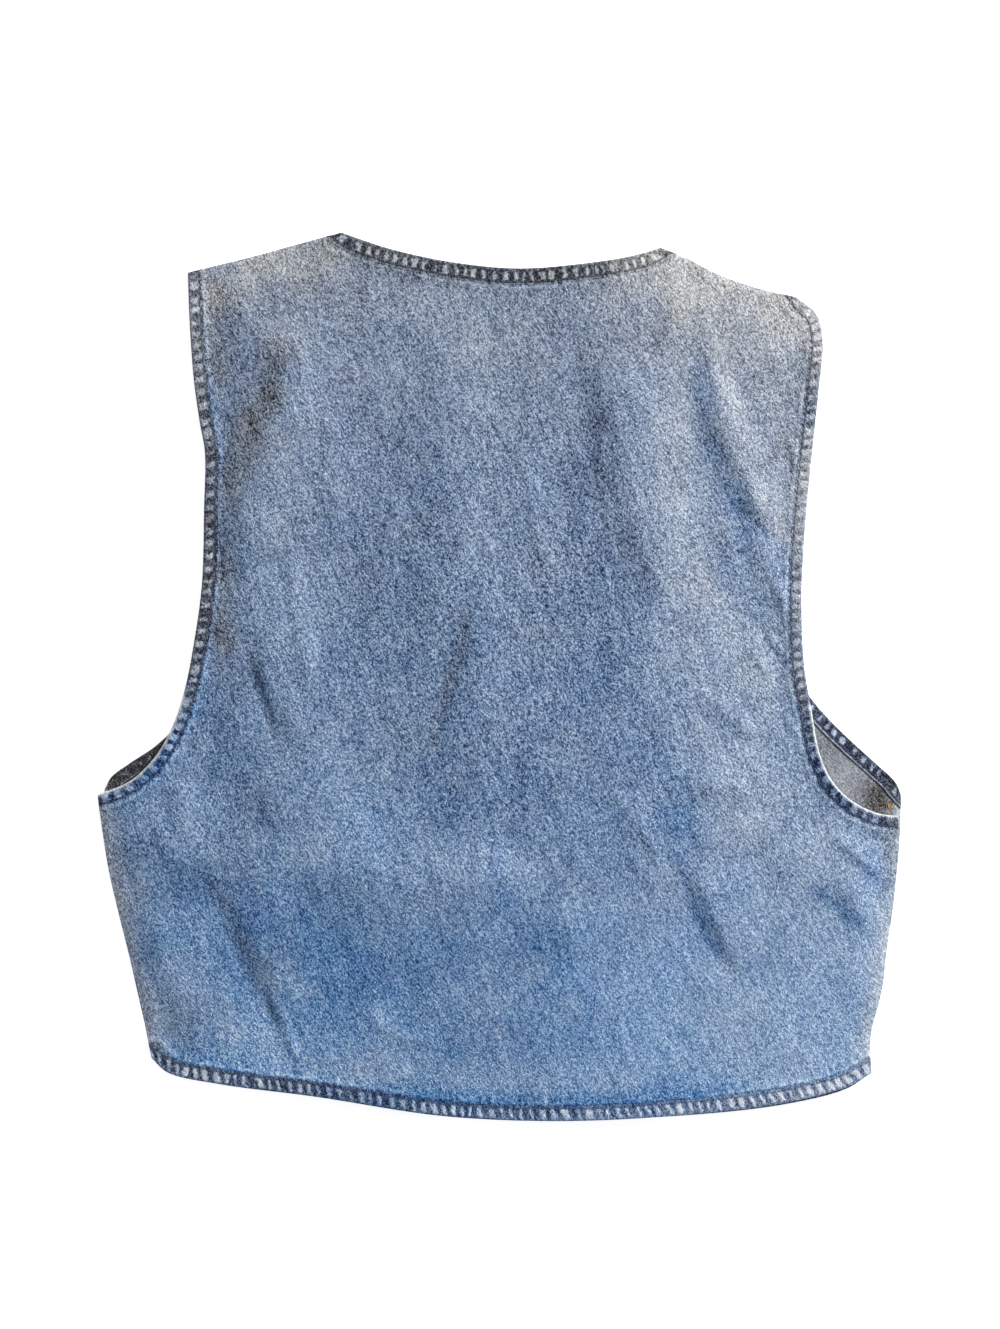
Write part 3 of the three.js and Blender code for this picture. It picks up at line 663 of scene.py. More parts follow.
FINE_STEPS = np.array([0.28, 0.28, 0.28, 0.32, 0.36, 0.42, 0.5, 0.62, 0.78])


def spaced(count, end_fine=False):
    """Shares from 0 to 1, finer towards the start, or else the end, where they meet a hem."""
    steps = np.ones(count)
    if end_fine:
        steps[-len(FINE_STEPS):] = FINE_STEPS[::-1]
    else:
        steps[:len(FINE_STEPS)] = FINE_STEPS
    return np.concatenate([[0], np.cumsum(steps)]) / steps.sum()


def coons(bottom, top, left_side, right_side):
    """Places blended inside four boundary rows whose corners are the bottom's and top's ends."""
    left_side[0], left_side[-1] = bottom[0], top[0]
    right_side[0], right_side[-1] = bottom[-1], top[-1]
    run = np.hypot(*np.diff((bottom + top).T, axis=1)).cumsum()
    u = (np.concatenate([[0], run]) / run[-1])[None, :, None]
    rise = np.hypot(*np.diff((left_side + right_side).T, axis=1)).cumsum()
    v = (np.concatenate([[0], rise]) / rise[-1])[:, None, None]
    across = left_side[:, None] * (1 - u) + right_side[:, None] * u
    up = bottom[None] * (1 - v) + top[None] * v
    corners = (bottom[0] * (1 - u) + bottom[-1] * u) * (1 - v) + (top[0] * (1 - u) + top[-1] * u) * v
    return across + up - corners


HEM_STEP = 0.8


def mitres(panel, name):
    """Which way a hem is cut at its start and its end: along the edges before and after its own."""
    order = list(panel)
    place = order.index(name)
    return -panel[order[place - 1]].tangent(1.0), panel[order[(place + 1) % len(order)]].tangent(0.0)


def hem_run(panel, name, width, trims=(0.0, 0.0), shares=None):
    edge = panel[name]
    if shares is None:
        shares = np.linspace(0, 1, int((edge.length - trims[0] - trims[1]) / HEM_STEP) + 1)
    return Run(edge, shares, width, *mitres(panel, name), *trims)


def seam_places(panel, name, shares, trims):
    return Run(panel[name], shares, 1.0, None, None, *trims).point


# How each hem is roped: the distance from rib to rib, how far a rib leans over the hem, how narrow
# ribs are, the tone between them, how much paler they are, where across the hem they start and end,
# the tone of the folded edge, how pale its loops of yarn are, the tone of the stitched line, the
# tone past it, and how far that line is from the inner edge.
ROPE_KEYS = (
    "pitch", "slant", "cut", "base", "rib", "rib_from", "rib_to", "fold", "loops", "seam", "lip", "seam_in",
)
ROPE_ROWS = {
    "bottom": (6.2, 2.2, 0.46, 0.20, 0.70, 0.5, 7.7, 0.16, 0.30, 0.14, 0.26, 1.9),
    "neck": (5.9, 0.5, 0.47, 0.02, 0.62, 2.4, 7.8, 0.04, 0.38, 0.0, 0.34, 1.9),
    "armhole": (7.4, 1.6, 0.36, 0.09, 0.56, 0.6, 6.2, 0.10, 0.18, 0.07, 0.50, 1.3),
    "faded": (7.0, 1.6, 0.36, 0.19, 0.42, 0.6, 6.2, 0.26, 0.20, 0.24, 0.60, 1.3),
    "front": (6.9, 1.6, 0.48, 0.04, 0.66, 1.4, 5.8, 0.06, 0.16, 0.02, 0.80, 1.9),
}
ROPING = {kind: dict(zip(ROPE_KEYS, row)) for kind, row in ROPE_ROWS.items()}
LOOP_PITCH = 3.25
RIB_EDGE = 0.30  # how soft a rib's flank is
RIB_LIFT = 0.40
RIB_FADE = 0.8
WORN_EDGE = 0.92  # tone of a folded edge where it is worn white
NOT_WORN = (2, 2)


def rib_wave(along, inward, rope, seed):
    """Uneven ribs across a hem, from 0 in the gaps to 1 on the ribs."""
    pitch = rope["pitch"]
    drift = 0.34 * pitch * mottle(along, along * 0, pitch * 1.9, seed)
    bend = 0.15 * pitch * mottle(along, inward, pitch * 0.5, seed + 5)
    phase = (along + drift + bend + rope["slant"] * inward / 8) / pitch
    wide = 0.26 * mottle(along, inward * 0, pitch * 1.3, seed + 1)
    ribs = smooth((0.5 + 0.5 * np.cos(2 * math.pi * phase) + wide - rope["cut"]) / RIB_EDGE)
    broken = 0.80 + 0.30 * mottle(along, inward, 2.4, seed + 6)
    broken = broken + 0.22 * mottle(along, inward * 0, pitch * 2.6, seed + 8)
    return ribs * np.clip(broken, 0, 1.15)


def hem_piece(name, run, width, lie, rope, seed, hue, fading_and_shade, worn):
    """A turned hem: a flattened roll whose upper side has ribs, with dark and pale all round.

    Its list of faded places also holds places of painted shade, and worn is where its folded edge is worn
    white, as shares of it.
    """
    thick, round_r = HEM_THICK, HEM_THICK / 2
    bend = np.linspace(-math.pi / 2, math.pi / 2, 8)
    section = np.array([
        *[(round_r - round_r * math.cos(a), round_r + round_r * math.sin(a)) for a in bend],
        *[(u, thick) for u in np.linspace(1.9, width - 2.2, 9)],
        (width - 1.6, thick - 0.1), (width - 1.1, thick - 0.38), (width - 0.6, thick - 0.25),
        (width, thick - 0.5), (width, 0.4), (width - 0.6, 0.0),
        *[(u, 0.0) for u in np.linspace(width - 2, 2.2, 5)],
    ])
    inward, height = section[:, 0], section[:, 1]
    count, stations = len(section), len(run.point)
    place = run.point[:, None] + run.across[:, None] * inward[None, :, None]
    x, y = place[..., 0], place[..., 1]
    along = run.along[:, None] + 0 * inward[None]
    depth = inward[None] + 0 * run.along[:, None]
    ribs = rib_wave(along, depth, rope, seed)
    body = smooth((depth - rope["rib_from"] + RIB_FADE) / (2 * RIB_FADE))
    body = body * smooth((rope["rib_to"] + RIB_FADE - depth) / (2 * RIB_FADE))
    lift = np.where(height[None] > thick * 0.6, RIB_LIFT * (ribs - 0.5) * body, 0)
    z = lie(x, y) + height[None] + lift
    tone = rope["base"] + rope["rib"] * ribs * body + 0.05 * mottle(along, depth, 6.0, seed + 3)
    loop_at = along + 0.8 * mottle(along, depth * 0, 4.0, seed + 9)
    edge_tone = rope["fold"] + rope["loops"] * (0.5 + 0.5 * np.cos(2 * math.pi * loop_at / LOOP_PITCH))
    seam_at = width - rope["seam_in"]
    uneven = 0.8 + 0.2 * mottle(along, depth * 0, 5.0, seed + 4)
    tone = tone + (edge_tone - tone) * dip(depth - 0.6, 1.2) * uneven
    tone = tone + (rope["seam"] - tone) * dip(depth - seam_at, 0.75) * 0.9
    tone = tone + (rope["lip"] - tone) * smooth((depth - seam_at - 0.6) / 0.5) * 0.9
    paler, bluer = fade_and_painted_shade(x, y, fading_and_shade)
    tone = tone + paler
    hue = np.clip(hue + bluer + 0.1 * mottle(x, y, 9, seed + 7), 0, 1.6)
    share = run.along[:, None] / run.along[-1]
    white = smooth((share - worn[0]) / 0.03) * smooth((worn[1] - share) / 0.03) * dip(depth - 0.2, 1.1)
    tone = tone + (WORN_EDGE - tone) * white
    hue = hue * (1 - 0.8 * white)
    ring = np.arange(count)
    faces = []
    for i in range(stations - 1):
        a, b = i * count + ring, i * count + np.roll(ring, -1)
        faces.append(np.stack([a, b, b + count, a + count], axis=1))
    faces = np.vstack(faces).tolist()
    faces.append(list(range(count - 1, -1, -1)))
    faces.append([(stations - 1) * count + k for k in range(count)])
    places = np.dstack([x, y, z]).reshape(-1, 3)
    return mesh_piece(name, places, faces, [roped], tone=np.clip(tone, 0, 1), hue=hue)


# A stitch: its length, the gap after it, and the thread's height and thickness at places along it
STITCH = 2.7
STITCH_GAP = 0.7
THREAD_SHARES = np.array([0.0, 0.12, 0.5, 0.88, 1.0])
THREAD_ARCH = np.array([-0.25, 0.0, 0.12, 0.0, -0.25])
THREAD_R = 0.22
THREAD_TAPER = np.array([0.5, 1, 1.1, 1, 0.5])
THREAD_SIDES = 6
STITCH_START = 1.5


def threads(x, y, z):
    """Capsules of thread, each through five places in a row."""
    r = THREAD_R * THREAD_TAPER
    way_x, way_y = x[:, -1] - x[:, 0], y[:, -1] - y[:, 0]
    span = np.hypot(way_x, way_y)
    turn = np.linspace(0, 2 * math.pi, THREAD_SIDES, endpoint=False)
    out = r[None, :, None] * np.cos(turn)
    places = np.stack([
        x[..., None] - (way_y / span)[:, None, None] * out,
        y[..., None] + (way_x / span)[:, None, None] * out,
        z[..., None] + r[None, :, None] * np.sin(turn),
    ], axis=-1).reshape(-1, 3)
    around = np.arange(THREAD_SIDES)
    a, b = around, np.roll(around, -1)
    ring = np.stack([a, a + THREAD_SIDES, b + THREAD_SIDES, b], axis=1)
    caps = [[0, 1, 2, 3], [0, 3, 4, 5], [27, 26, 25, 24], [29, 28, 27, 24]]
    one = np.vstack([*[ring + i * THREAD_SIDES for i in range(len(r) - 1)], caps])
    base = len(r) * THREAD_SIDES * np.arange(len(x))[:, None, None]
    return places, (one[None] + base).reshape(-1, 4)


def stitch_row(run, inward, lie, height, side=1):
    """Stitches along a hem. side is 1 on the upper face and -1 below."""
    starts = np.arange(run.along[0] + STITCH_START, run.along[-1] - 2 * STITCH_START, STITCH + STITCH_GAP)
    s = starts[:, None] + STITCH * THREAD_SHARES
    centre = run.inset(inward)
    x, y = (np.interp(s, run.along, centre[:, k]) for k in (0, 1))
    return threads(x, y, lie(x, y) + height + side * THREAD_ARCH)


def stitch_bars(starts, way, lie, height, side=1):
    """Stitches side by side, each from its start along the same way."""
    starts, way = np.asarray(starts, float), np.asarray(way, float)
    x, y = (starts[:, k, None] + way[k] * THREAD_SHARES for k in (0, 1))
    return threads(x, y, lie(x, y) + height + side * THREAD_ARCH)


def stitching(name, rows, material):
    places, faces, base = [], [], 0
    for row_places, row_faces in rows:
        places.append(row_places)
        faces.append(row_faces + base)
        base += len(row_places)
    return mesh_piece(name, np.vstack(places), np.vstack(faces), [material])


# The back

COLUMNS = {"shoulder": 50, "neck": 90}
ROWS = {"side": 84, "armhole": 158}
HEM_CORNER = 0.24  # share of the bottom hem that lies below each shoulder
TUCK = 0.7  # how far a panel's edge goes in under its hem's stitched line
PAINTED_FOLD_LIGHT = 0.25  # painted light and shade: paler per unit of slope towards the key lamp at the upper right
PAINTED_FOLD_STEP = 1.2
PAINTED_FOLD_MOST = 0.35
HALF_LENGTH = 260
HALF_WIDTH = 240
MIDDLE_TONE, LOWER_PALER = 0.50, 0.055
MIDDLE_HUE, LOWER_BLUER, LEFT_BLUER = 1.12, 0.24, 0.10
LEAST_HUE, MOST_HUE = 0.08, 1.6


def painted_fold_light(x, y):
    """Painted light and shade on the folds: paler on flanks that face the upper right, towards the key lamp,
    and darker on those that face away.
    """
    def height(px, py):
        return fold_height(px, py, FOLDS) + CREASE_LIFT * fold_height(px, py, CREASES)

    here = height(x, y)
    slope = 0.8 * (height(x + PAINTED_FOLD_STEP, y) - here) + 0.6 * (height(x, y + PAINTED_FOLD_STEP) - here)
    return -PAINTED_FOLD_LIGHT * np.clip(slope / PAINTED_FOLD_STEP, -PAINTED_FOLD_MOST, PAINTED_FOLD_MOST)


def place_tone(x, y):
    """How pale and how blue the washed cloth is, from its place, with painted shade and light along the folds
    from the streaks.
    """
    upward, rightward = np.clip(y / HALF_LENGTH, -1, 1), np.clip(x / HALF_WIDTH, -1, 1)
    tone = MIDDLE_TONE - LOWER_PALER * upward - 0.02 * dip(np.hypot(x - 20, y - 30), 120)
    hue = MIDDLE_HUE - LOWER_BLUER * upward - LEFT_BLUER * rightward
    hue = hue - 0.20 * dip(np.hypot(x - 170, y - 190), 90)
    hue = hue - 0.16 * smooth((y - 130) / 90) + 0.17 * smooth((-y - 110) / 90)
    tone = tone + 0.03 * dip(np.hypot(x - 140, y + 180), 110)
    for path, width, pale, blue in WASH_AND_PAINTED_LIGHT_STREAKS:
        away = nearest(x, y, Edge(path).at(SAMPLES[::4]))[0]
        strength = dip(away, width) * (1 + 0.4 * mottle(x, y, 15, 9))
        tone, hue = tone + pale * strength, hue + blue * strength
    paler, bluer = fade_and_painted_shade(x, y, PALER_AND_DARKER_PLACES)
    tone, hue = tone + paler, hue + bluer
    tone = tone + 0.02 * mottle(x, y, 38, 3) + 0.018 * mottle(x, y, 14, 4)
    tone = tone + 0.020 * mottle(2.2 * (x + 0.36 * y), 0.5 * y, 9, 5)
    hue = hue + 0.07 * mottle(x, y, 22, 6) + 0.06 * mottle(x, y, 9, 7)
    return tone, np.clip(hue, LEAST_HUE, MOST_HUE)


# The cloth of the back beside each of its hems, in the order of BACK_HEMS: whose roping it puckers
# with, how much paler the worn line is, how much that changes in the middle of the hem, how much
# paler the puckers are, how much bluer the worn line is, how much painted shade darkens the next few
# millimetres, how much that changes in the middle, and how much bluer the cloth is there.
BESIDE_HEMS = [
    ("bottom", 0.18, -0.16, 0.16, 0.0, 0.0, 0.09, 0.12),
    ("neck", 0.14, 0.0, 0.10, 0.0, 0.02, 0.0, 0.0),
    ("armhole", 0.20, 0.0, 0.08, 0.30, 0.02, 0.0, 0.0),
    ("armhole", 0.24, 0.0, 0.08, 0.05, 0.02, 0.0, 0.0),
]
BESIDE_RISE = HEM_THICK - CLOTH - 0.25  # height of the cloth where it meets a hem's stitched line
PUCKER_RISE = 0.34
PUCKER_SEED, LINE_SEED = 40, 50
TO_EDGE = 14.0  # how far from hems and seams the cloth lies unevenly in full


def back_cloth():
    shoulder, side = spaced(COLUMNS["shoulder"]), spaced(ROWS["side"])
    neck = np.linspace(0, 1, COLUMNS["neck"] + 1)
    armhole = spaced(ROWS["armhole"], end_fine=True)
    under_neck = HEM_CORNER + neck[1:-1] * (1 - 2 * HEM_CORNER)
    hem = np.concatenate([shoulder * HEM_CORNER, under_neck, 1 - shoulder[::-1] * HEM_CORNER])
    hem_cut, neck_cut, arm_cut = BOTTOM_HEM - TUCK, NECK_HEM - TUCK, ARMHOLE_HEM - TUCK
    bottom = hem_run(back, "hem", BOTTOM_HEM, shares=hem).inset(hem_cut)
    right_side = np.vstack([
        seam_places(back, "side_right", side, (hem_cut, arm_cut)),
        hem_run(back, "armhole_right", ARMHOLE_HEM, shares=armhole).inset(arm_cut)[1:],
    ])
    left_side = np.vstack([
        seam_places(back, "side_left", 1 - side, (arm_cut, hem_cut)),
        hem_run(back, "armhole_left", ARMHOLE_HEM, shares=1 - armhole).inset(arm_cut)[1:],
    ])
    top = np.vstack([
        seam_places(back, "shoulder_left", 1 - shoulder, (neck_cut, arm_cut)),
        hem_run(back, "neck", NECK_HEM, shares=1 - neck).inset(neck_cut)[1:-1],
        seam_places(back, "shoulder_right", shoulder[::-1], (arm_cut, neck_cut)),
    ])
    grid = coons(bottom, top, left_side, right_side)
    x, y = grid[..., 0], grid[..., 1]
    to_seam = away_from(x, y, SEAMS)
    hems = [nearest(x, y, line) for line, _ in HEM_LINES]
    to_hem = np.min([found[0] - width for found, (_, width) in zip(hems, HEM_LINES)], axis=0)
    to_any = np.minimum(to_hem, away_from_hems(x, y, FRONT_LINES))
    held_up = np.maximum(smooth(to_seam / SEAM_ROLL), 1 - smooth(to_any / SEAM_ROLL))
    low = SEAM_LIE + (back_lie(x, y) - SEAM_LIE) * held_up
    inner = smooth(to_hem / TO_EDGE) * smooth(to_seam / TO_EDGE)
    low = low + CREASE_LIFT * fold_height(x, y, CREASES) * smooth(np.minimum(to_hem, to_seam) / 5)
    uneven = 0.45 * mottle(x, y, 34, 11) + 0.22 * mottle(x, y, 13, 12)
    uneven = uneven + 0.12 * mottle(x * 1.6, y * 0.6, 6, 13)
    low = low + inner * uneven
    tone, hue = place_tone(x, y)
    # Painted light and shade on the flanks of the folds
    tone = tone + painted_fold_light(x, y)
    raised = np.zeros_like(x)
    middle = smooth((160 - np.abs(x - 30)) / 90)
    for i, ((away, along, _), (_, width), beside) in enumerate(zip(hems, HEM_LINES, BESIDE_HEMS)):
        rope, line, line_middle, puckered, line_blue, shade, shade_middle, blue = beside
        past = np.maximum(away - width, 0)
        pucker = rib_wave(along, past, ROPING[rope], PUCKER_SEED + i) - 0.5
        raised = raised + BESIDE_RISE * dip(past, 3.4) + PUCKER_RISE * pucker * dip(past - 1.5, 3.2)
        worn = dip(past - 1.3, 1.1) * (0.8 + 0.35 * mottle(along, past * 0, 7, LINE_SEED + i) + 0.3 * pucker)
        tone = tone + (line + line_middle * middle) * worn
        tone = tone + puckered * pucker * dip(past - 2, 4)
        hue = hue + line_blue * worn
        # Painted shade: a dark line where the cloth meets the hem, and a darker band over the next few
        # millimetres
        tone = tone - 0.16 * dip(past, 0.6) - (shade + shade_middle * middle) * dip(past - 2.5, 5)
        hue = hue + blue * middle * dip(past - 2, 8)
    side_seam = away_from(x, y, SEAMS[:2])
    hue = hue * (1 - 0.45 * dip(side_seam, 9))
    # Painted shade along the left side seam, the side that faces away from the key lamp
    tone = tone - 0.06 * dip(away_from(x, y, SEAMS[:1]), 6)
    rolled = dip(to_seam, 2.2) * (1 - dip(to_hem, 2.0))
    tone = tone + 0.05 * rolled * (1 + 0.6 * mottle(x, y, 5, 14))
    low = low - 0.55 * rolled
    high = low + CLOTH + raised - 0.35 * rolled
    below = 0.5 + 0.03 * mottle(x, y, 20, 8)
    finer_below = 0.15 * smooth((-y - 60) / 110) * (0.6 + 0.4 * smooth(x / 200 + 0.5))
    grain = 1 + 0.16 * dip(np.hypot(x, y - 40), 130) - finer_below
    return shell(
        "back_cloth", grid, low, high, [denim, wrong_side],
        (np.clip(tone, 0, 1), below), (hue, np.full(x.shape, 0.9)), grain,
    )


# Shaded and faded places of the wrong side in the armholes
RIGHT_PIT = [
    (229, -71, 14, -0.44, -0.7), (242, -80, 5, 0.55, 0.0), (196, -40, 16, -0.12, 0.0),
    (214, -62, 12, 0.05, 0.3),
]
LEFT_PIT = [(-225, -60, 45, -0.58, -0.8)]

FRONT_COLUMNS = 61
FRONT_ROWS = {"side": 33, "armhole": 75}
OUTER_TONE = 0.8  # how much of the back's fading the fronts' outer side has
OUTER_HUE = 0.5


def front_cloth(name, panel, lie, pit):
    hem_cut, front_cut, arm_cut = BOTTOM_HEM - TUCK, FRONT_HEM - TUCK, ARMHOLE_HEM - TUCK
    across = np.linspace(0, 1, FRONT_COLUMNS + 1)
    side, armhole = (np.linspace(0, 1, FRONT_ROWS[key] + 1) for key in ("side", "armhole"))
    free = np.linspace(0, 1, sum(FRONT_ROWS.values()) + 1)
    if panel is right:
        free, way = 1 - free, 1
    else:
        side, armhole, way = 1 - side, 1 - armhole, -1
    bottom = hem_run(panel, "hem", BOTTOM_HEM, (front_cut, 0)[::way], across).inset(hem_cut)
    front = hem_run(panel, "front", FRONT_HEM, (0, hem_cut)[::way], free).inset(front_cut)
    hole = hem_run(panel, "armhole", ARMHOLE_HEM, shares=armhole).inset(arm_cut)
    outer = np.vstack([seam_places(panel, "side", side, (hem_cut, arm_cut)[::way]), hole[1:]])
    top = seam_places(panel, "shoulder", 1 - across, (arm_cut, front_cut)[::way])
    grid = coons(bottom, top, *(front, outer)[::way])
    x, y = grid[..., 0], grid[..., 1]
    to_side = away_from(x, y, SEAMS)
    low = lie(x, y)
    high = low + CLOTH + 0.16 * smooth(to_side / 10) * mottle(x, y, 11, 21)
    tone, hue = place_tone(-x, y)
    tone, hue = MIDDLE_TONE + OUTER_TONE * (tone - MIDDLE_TONE), np.maximum(hue, OUTER_HUE)
    # The pit places paint shade on the wrong side inside the armholes, and make a few spots paler.
    paler, bluer = fade_and_painted_shade(x, y, pit)
    wrong = 0.58 + 0.05 * mottle(x, y, 16, 22) + 0.05 * mottle(x * 3, y, 6, 23) + paler
    return shell(name, grid, low, high, [wrong_side, denim], (wrong, tone), (1.1 + bluer, hue))


back_piece = back_cloth()
left_piece = front_cloth("front_cloth_left", left, left_lie, LEFT_PIT)
right_piece = front_cloth("front_cloth_right", right, right_lie, RIGHT_PIT)

# The hems: node, panel and edge, width, what it lies on, roping, hue, seed, faded places and places of
# painted shade, and the part of its folded edge that is worn white.
HEMS = [
    (
        "back_neck_hem", back, "neck", NECK_HEM, back_lie, "neck", 0.40, 110,
        [(88, 252, 30, 0.26, -0.38), (-70, 258, 40, 0.06, 0.0), (10, 246, 45, -0.05, 0.0)], NOT_WORN,
    ),
    (
        "back_hem", back, "hem", BOTTOM_HEM, back_lie, "bottom", 1.15, 115,
        [
            (190, -250, 80, 0.26, -0.24), (60, -262, 60, 0.10, -0.05), (-20, -262, 40, 0.03, 0.0),
            (-180, -240, 60, 0.005, -0.3),
        ],
        NOT_WORN,
    ),
    (
        "back_armhole_hem_left", back, "armhole_left", ARMHOLE_HEM, back_lie, "armhole", 0.50, 103,
        [(-184, 215, 60, 0.16, -0.1), (-212, -50, 45, 0.11, 0.85)], (0.73, 1.1),
    ),
    (
        "back_armhole_hem_right", back, "armhole_right", ARMHOLE_HEM, back_lie, "faded", 0.45, 124,
        [
            (188, 190, 60, 0.0, -0.1), (180, 226, 14, -0.02, -0.1), (192, 214, 34, 0.23, -0.22),
            (188, 160, 18, -0.06, 0.2), (184, 108, 38, 0.11, -0.15), (182, 60, 60, 0.065, 0.1),
            (184, 18, 16, 0.06, 0.2), (200, -60, 50, -0.14, 0.6),
        ],
        (-0.1, 0.29),
    ),
    ("front_hem_left", left, "hem", BOTTOM_HEM, left_lie, "bottom", 1.0, 105, [], NOT_WORN),
    ("front_hem_right", right, "hem", BOTTOM_HEM, right_lie, "bottom", 1.0, 106, [], NOT_WORN),
    # This hem is darkened with painted shade where it lies in the left armhole's shadow.
    (
        "front_armhole_hem_left", left, "armhole", ARMHOLE_HEM, left_lie, "front", 0.20, 107,
        [(-215, -50, 60, -0.50, 0.0)], NOT_WORN,
    ),
    # Its darker place by the armhole's end, at (235, -64), is painted shade.
    (
        "front_armhole_hem_right", right, "armhole", ARMHOLE_HEM, right_lie, "front", 0.7, 108,
        [(243, -72, 5, 0.50, 0.0), (235, -64, 8, -0.30, -0.3), (190, -20, 14, 0.06, 0.0)], NOT_WORN,
    ),
    ("front_edge_hem_left", left, "front", FRONT_HEM, left_lie, "armhole", 0.8, 109, [], NOT_WORN),
    ("front_edge_hem_right", right, "front", FRONT_HEM, right_lie, "armhole", 0.8, 110, [], NOT_WORN),
]
EDGE_TRIMS = {"front_edge_hem_left": (BOTTOM_HEM, 0.0), "front_edge_hem_right": (0.0, BOTTOM_HEM)}
ROW_SINK = 0.22  # how far the stitches of a hem lie below its top
ROW_BELOW = 0.4

hem_pieces, rows_back, rows_front = {}, [], []
for node, panel, edge, width, lie, roping, hue, seed, fading_and_shade, worn in HEMS:
    rope = ROPING[roping]
    run = hem_run(panel, edge, width, EDGE_TRIMS.get(node, (0.0, 0.0)))
    hem_pieces[node] = hem_piece(node + "_cloth", run, width, lie, rope, seed, hue, fading_and_shade, worn)
    seam_at = width - rope["seam_in"]
    rows = rows_back if panel is back else rows_front
    rows.append(stitch_row(run, seam_at, lie, HEM_THICK - ROW_SINK))
    if panel is not back:
        rows.append(stitch_row(run, seam_at, lie, ROW_BELOW, -1))

# Each buttonhole: bars of thread down both sides of the slit, and three across its end
SLIT_END = BUTTONHOLE_LENGTH - SHANK_R
BAR_PITCH = 0.5
BAR_LENGTH = 1.7
BAR_FROM = 6.0
SLIT_HALF = 0.15
BAR_END = 1.9
BAR_BELOW = 0.12
BUTTON_PLACES = [BUTTON_TOP - BUTTON_PITCH * i for i in range(BUTTON_COUNT)]
for y in BUTTON_PLACES:
    bars = np.arange(FRONT_CENTRE + BAR_FROM, FRONT_CENTRE + SLIT_END, BAR_PITCH)
    for way in (1, -1):
        starts = [(x, y + way * SLIT_HALF) for x in bars]
        rows_front.append(stitch_bars(starts, (0, way * BAR_LENGTH), right_lie, BAR_BELOW, -1))
    ends = [(FRONT_CENTRE + SLIT_END + BAR_PITCH * k, y - BAR_END) for k in range(3)]
    rows_front.append(stitch_bars(ends, (0, 2 * BAR_END), right_lie, BAR_BELOW, -1))
back_stitches = stitching("back_stitching", rows_back, thread)
front_stitches = stitching("front_stitching", rows_front, thread)

# The tack that closes the right armhole's end
TACK = [(232.4, -76.0), (233.1, -76.6), (233.8, -76.2)]
TACK_WAY = (0.9, -3.6)
tack = stitching("side_tack", [stitch_bars(TACK, TACK_WAY, right_lie, CLOTH + BAR_BELOW)], orange)

# Buttons


def lathe(name, centre, profile, sides, material):
    places, faces = [], []
    for r, z in profile:
        for k in range(sides):
            a = 2 * math.pi * k / sides
            places.append((centre[0] + r * math.cos(a), centre[1] + r * math.sin(a), z))
    rings = len(profile)
    for i in range(rings - 1):
        for k in range(sides):
            a, b = i * sides + k, i * sides + (k + 1) % sides
            faces.append((a, b, b + sides, a + sides))
    faces.append(tuple(range(sides - 1, -1, -1)))
    faces.append(tuple((rings - 1) * sides + k for k in range(sides)))
    return mesh_piece(name, places, faces, [material])


STEM_TOP = BUTTON_LIE + LAP_LIE - GAP
BUTTON_SIDES = 40
BUTTON_PROFILE = [
    (0.4, 0.45), (2.4, 0.42), (4.0, 0.5), (4.5, 0.3), (4.9, 0.05), (5.6, 0.0), (6.6, 0.05), (7.2, 0.4),
    (BUTTON_R, 1.0), (7.4, 1.8), (7.0, 2.35), (6.4, BUTTON_HEAD), (2.6, BUTTON_HEAD), (SHANK_R, 2.9),
    (SHANK_R, STEM_TOP), (0.4, STEM_TOP),
]
button_pieces = [
    lathe(f"metal_button_{i + 1}", (FRONT_CENTRE, y), BUTTON_PROFILE, BUTTON_SIDES, metal)
    for i, y in enumerate(BUTTON_PLACES)
]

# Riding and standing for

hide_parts("back_panel")
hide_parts("front_panel_left")
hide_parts("front_panel_right")
for node, piece in hem_pieces.items():
    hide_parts(node)
for i, piece in enumerate(button_pieces):
    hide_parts(f"button_{i + 1}")
stitch_pieces = (back_stitches, front_stitches, tack)
for piece in (back_piece, left_piece, right_piece, *hem_pieces.values(), *button_pieces, *stitch_pieces):
    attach(piece, "root")

# Floor, light and camera

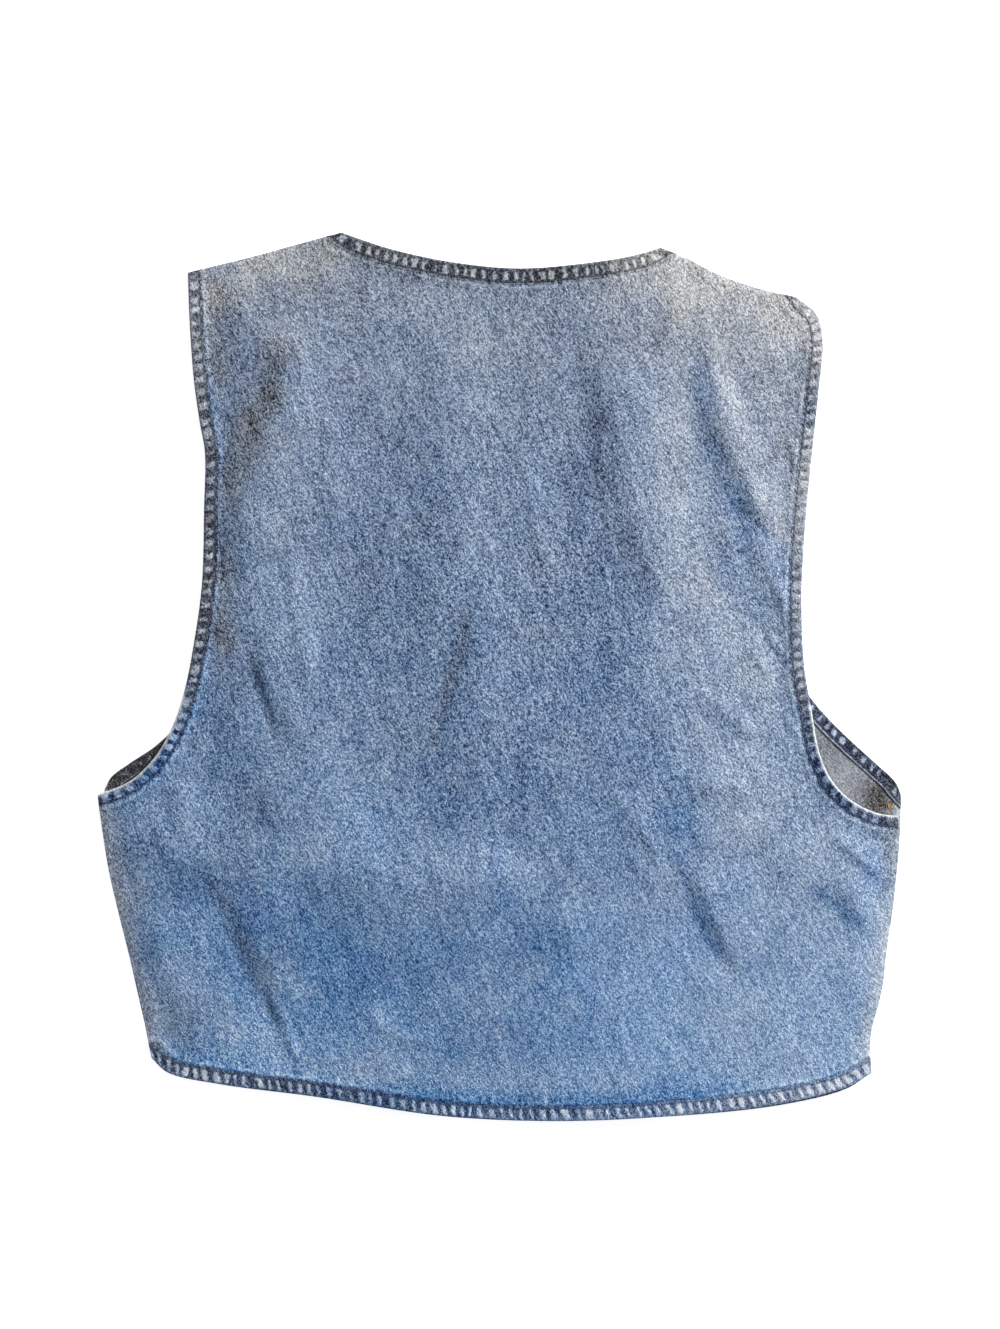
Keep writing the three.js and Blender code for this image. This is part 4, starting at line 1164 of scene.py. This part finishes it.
FLOOR_SPAN = 6.0
FLOOR_DROP = 0.0004
corners = [(FLOOR_SPAN * a, FLOOR_SPAN * b, 0) for a, b in ((-1, -1), (1, -1), (1, 1), (-1, 1))]
floor_mesh = bpy.data.meshes.new("floor")
floor_mesh.from_pydata(corners, [], [(0, 1, 2, 3)])
floor = bpy.data.objects.new("floor", floor_mesh)
floor.location.z = -FLOOR_DROP
bpy.context.scene.collection.objects.link(floor)
pale = bpy.data.materials.new("pale_floor")
pale.use_nodes = True
for key, value in {
    "Base Color": (0.93, 0.93, 0.93, 1), "Roughness": 0.9, "Specular IOR Level": 0.0,
    "Emission Color": (1, 1, 1, 1), "Emission Strength": 0.72,
}.items():
    pale.node_tree.nodes["Principled BSDF"].inputs[key].default_value = value
floor_mesh.materials.append(pale)


def lamp(name, place, size, power):
    """A round lamp that faces the middle of the vest."""
    data = bpy.data.lights.new(name, "AREA")
    data.shape = "DISK"
    data.size = size
    data.energy = power
    obj = bpy.data.objects.new(name, data)
    bpy.context.scene.collection.objects.link(obj)
    obj.location = place
    x, y, z = place
    obj.rotation_euler = (math.atan2(math.hypot(x, y), z), 0, math.atan2(-y, -x) - math.pi / 2)


lamp("key", (2.0, 1.3, 1.45), 0.7, 100)
lamp("fill", (-1.2, -0.8, 2.8), 2.0, 5)
world = bpy.data.worlds.new("studio")
world.use_nodes = True
world.node_tree.nodes["Background"].inputs["Color"].default_value = (1, 1, 1, 1)
world.node_tree.nodes["Background"].inputs["Strength"].default_value = 0.30
bpy.context.scene.world = world
bpy.context.scene.view_settings.view_transform = "Standard"

PHOTO_ROWS = 1329
ORIGIN_ROW = 676  # the row of the photograph that shows the part's origin
SCALE = 0.6 * MM  # metres for each pixel of the photograph
CAMERA_HEIGHT = 2.4
SENSOR = 36.0
camera_data = bpy.data.cameras.new("camera")
camera_data.sensor_fit = "VERTICAL"
camera_data.sensor_height = SENSOR
camera_data.lens = SENSOR * CAMERA_HEIGHT / (PHOTO_ROWS * SCALE)
camera = bpy.data.objects.new("camera", camera_data)
camera.location = (0.0, (ORIGIN_ROW - PHOTO_ROWS / 2) * SCALE, CAMERA_HEIGHT)
bpy.context.scene.collection.objects.link(camera)
bpy.context.scene.camera = camera
